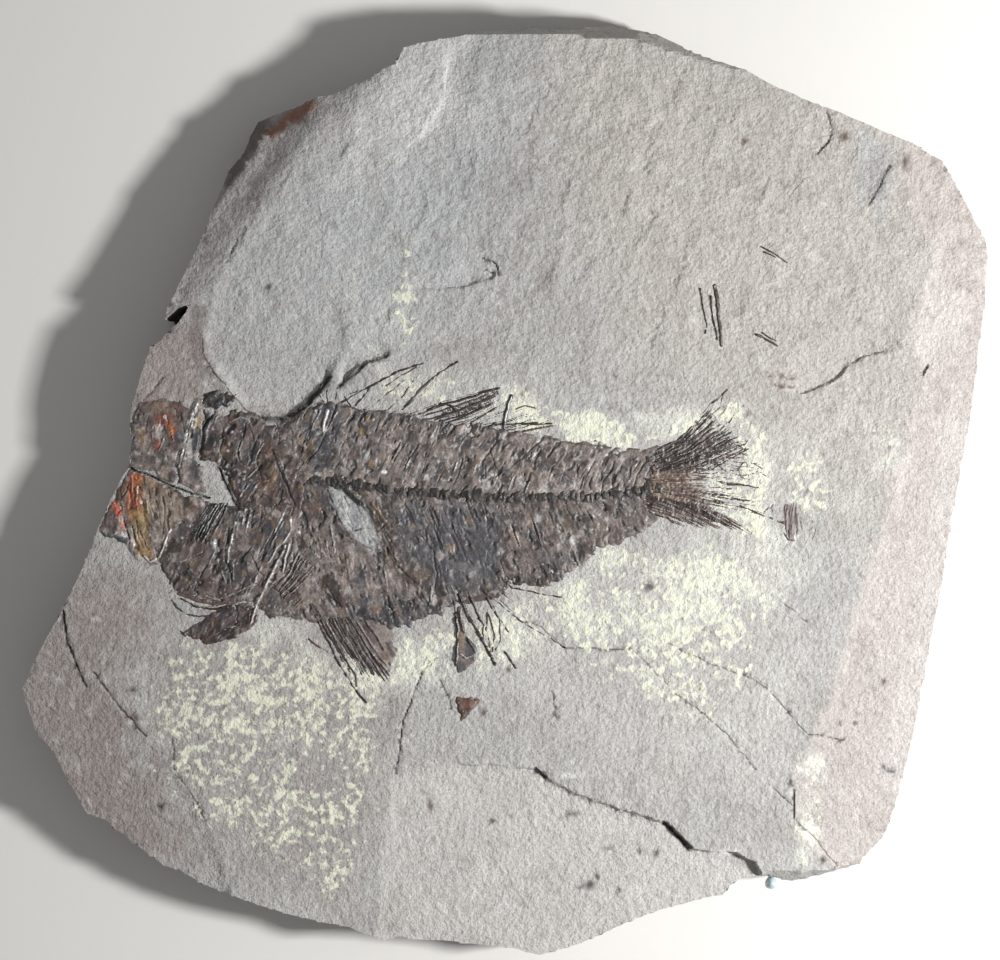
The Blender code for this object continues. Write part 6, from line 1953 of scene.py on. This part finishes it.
class FossilSettings(bpy.types.PropertyGroup):
    """The fish."""

    cell: length("Cell", "Size of the cells of the fish's bones and skin", 0.000125)
    bone_grit: length("Grit", "Size of the grain of the bone", 0.00035)
    bone_bump: length("Grain depth", "Depth of the grain of the bone", 0.00009)
    dull: number("Dull", "Roughness of flaked bone and skin", 0.62)
    shine: number("Shine", "Roughness of whole, resinous bone", 0.24)


class StageSettings(bpy.types.PropertyGroup):
    """The floor and the lamps."""

    floor_size: length("Floor", "Side of the floor", 2.4)
    floor_colour: colour("Floor colour", "Colour of the floor", "D9D7D3")
    key_power: number("Key power", "Power of the main lamp in watts", 2.32)
    key_size: length("Key size", "Side of the main lamp", 0.045)
    key_place: place("Key place", "Where the main lamp stands", (0.30, -0.052, 0.232))
    fill_power: number("Fill power", "Power of the soft lamp on the other side", 0.2)
    sky: number("Sky", "Strength of the light from all round", 0.25)


class FOSSIL_OT_slab(bpy.types.Operator):
    """Make the shale slab"""

    bl_idname = "fossil.slab"
    bl_label = "Shale slab"

    def execute(self, context):
        make_slab(context.scene.fossil_stone)
        return {"FINISHED"}


class FOSSIL_OT_head(bpy.types.Operator):
    """Make the skull, its chip and the cranium"""

    bl_idname = "fossil.head"
    bl_label = "Skull and cranium"

    def execute(self, context):
        make_sheets(("skull_bones", "skull_roof_chip", "cranium_bones"), context.scene.fossil_fish)
        return {"FINISHED"}


class FOSSIL_OT_jaws(bpy.types.Operator):
    """Make the jaws, the gill cover and the throat"""

    bl_idname = "fossil.jaws"
    bl_label = "Jaws and gill cover"

    def execute(self, context):
        make_sheets(("jaw_bones", "gill_bones", "throat_bones"), context.scene.fossil_fish)
        return {"FINISHED"}


class FOSSIL_OT_flanks(bpy.types.Operator):
    """Make the scaled skin above and below the backbone"""

    bl_idname = "fossil.flanks"
    bl_label = "Scaled flanks"

    def execute(self, context):
        make_sheets(("upper_scales", "lower_scales"), context.scene.fossil_fish)
        return {"FINISHED"}


class FOSSIL_OT_backbone(bpy.types.Operator):
    """Make the row of vertebrae"""

    bl_idname = "fossil.backbone"
    bl_label = "Backbone"

    def execute(self, context):
        make_sheets(("vertebrae",), context.scene.fossil_fish)
        return {"FINISHED"}


class FOSSIL_OT_fins(bpy.types.Operator):
    """Make the rays of all the fins"""

    bl_idname = "fossil.fins"
    bl_label = "Fins"

    def execute(self, context):
        names = ("dorsal_rays", "pectoral_rays", "pelvic_rays", "anal_rays", "tail_rays")
        make_sheets(names, context.scene.fossil_fish)
        return {"FINISHED"}


class FOSSIL_OT_strays(bpy.types.Operator):
    """Make the loose bones beside the fish"""

    bl_idname = "fossil.strays"
    bl_label = "Loose bones"

    def execute(self, context):
        make_sheets(("tail_ray_scrap", "bone_flake"), context.scene.fossil_fish)
        make_strays(context.scene.fossil_fish)
        return {"FINISHED"}


class FOSSIL_OT_glue(bpy.types.Operator):
    """Make the bead of clear glue"""

    bl_idname = "fossil.glue"
    bl_label = "Glue bead"

    def execute(self, context):
        make_glue()
        return {"FINISHED"}


class FOSSIL_OT_stage(bpy.types.Operator):
    """Make the floor, the lamps and the camera"""

    bl_idname = "fossil.stage"
    bl_label = "Stage"

    def execute(self, context):
        make_stage(context.scene.fossil_stage)
        return {"FINISHED"}


OPERATORS = (
    FOSSIL_OT_slab, FOSSIL_OT_head, FOSSIL_OT_jaws, FOSSIL_OT_flanks, FOSSIL_OT_backbone, FOSSIL_OT_fins,
    FOSSIL_OT_strays, FOSSIL_OT_glue, FOSSIL_OT_stage,
)
SETTINGS = {"fossil_stone": StoneSettings, "fossil_fish": FossilSettings, "fossil_stage": StageSettings}


class FOSSIL_PT_panel(bpy.types.Panel):
    """The sidebar panel"""

    bl_idname = "FOSSIL_PT_panel"
    bl_label = "Fossil Fish Slab"
    bl_space_type = "VIEW_3D"
    bl_region_type = "UI"
    bl_category = "Fossil"

    def draw(self, context):
        for operator in OPERATORS:
            self.layout.operator(operator.bl_idname)
        for name, kind in SETTINGS.items():
            box = self.layout.box()
            for key in kind.__annotations__:
                box.prop(getattr(context.scene, name), key)


def register():
    for kind in (*SETTINGS.values(), *OPERATORS, FOSSIL_PT_panel):
        bpy.utils.register_class(kind)
    for name, kind in SETTINGS.items():
        setattr(bpy.types.Scene, name, bpy.props.PointerProperty(type=kind))


def unregister():
    for name in SETTINGS:
        delattr(bpy.types.Scene, name)
    for kind in (FOSSIL_PT_panel, *reversed(OPERATORS), *reversed(SETTINGS.values())):
        bpy.utils.unregister_class(kind)


def main():
    """Makes every piece and the stage."""
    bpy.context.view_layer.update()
    register()
    for operator in OPERATORS:
        family, name = operator.bl_idname.split(".")
        getattr(getattr(bpy.ops, family), name)()


if __name__ == "__main__":
    main()
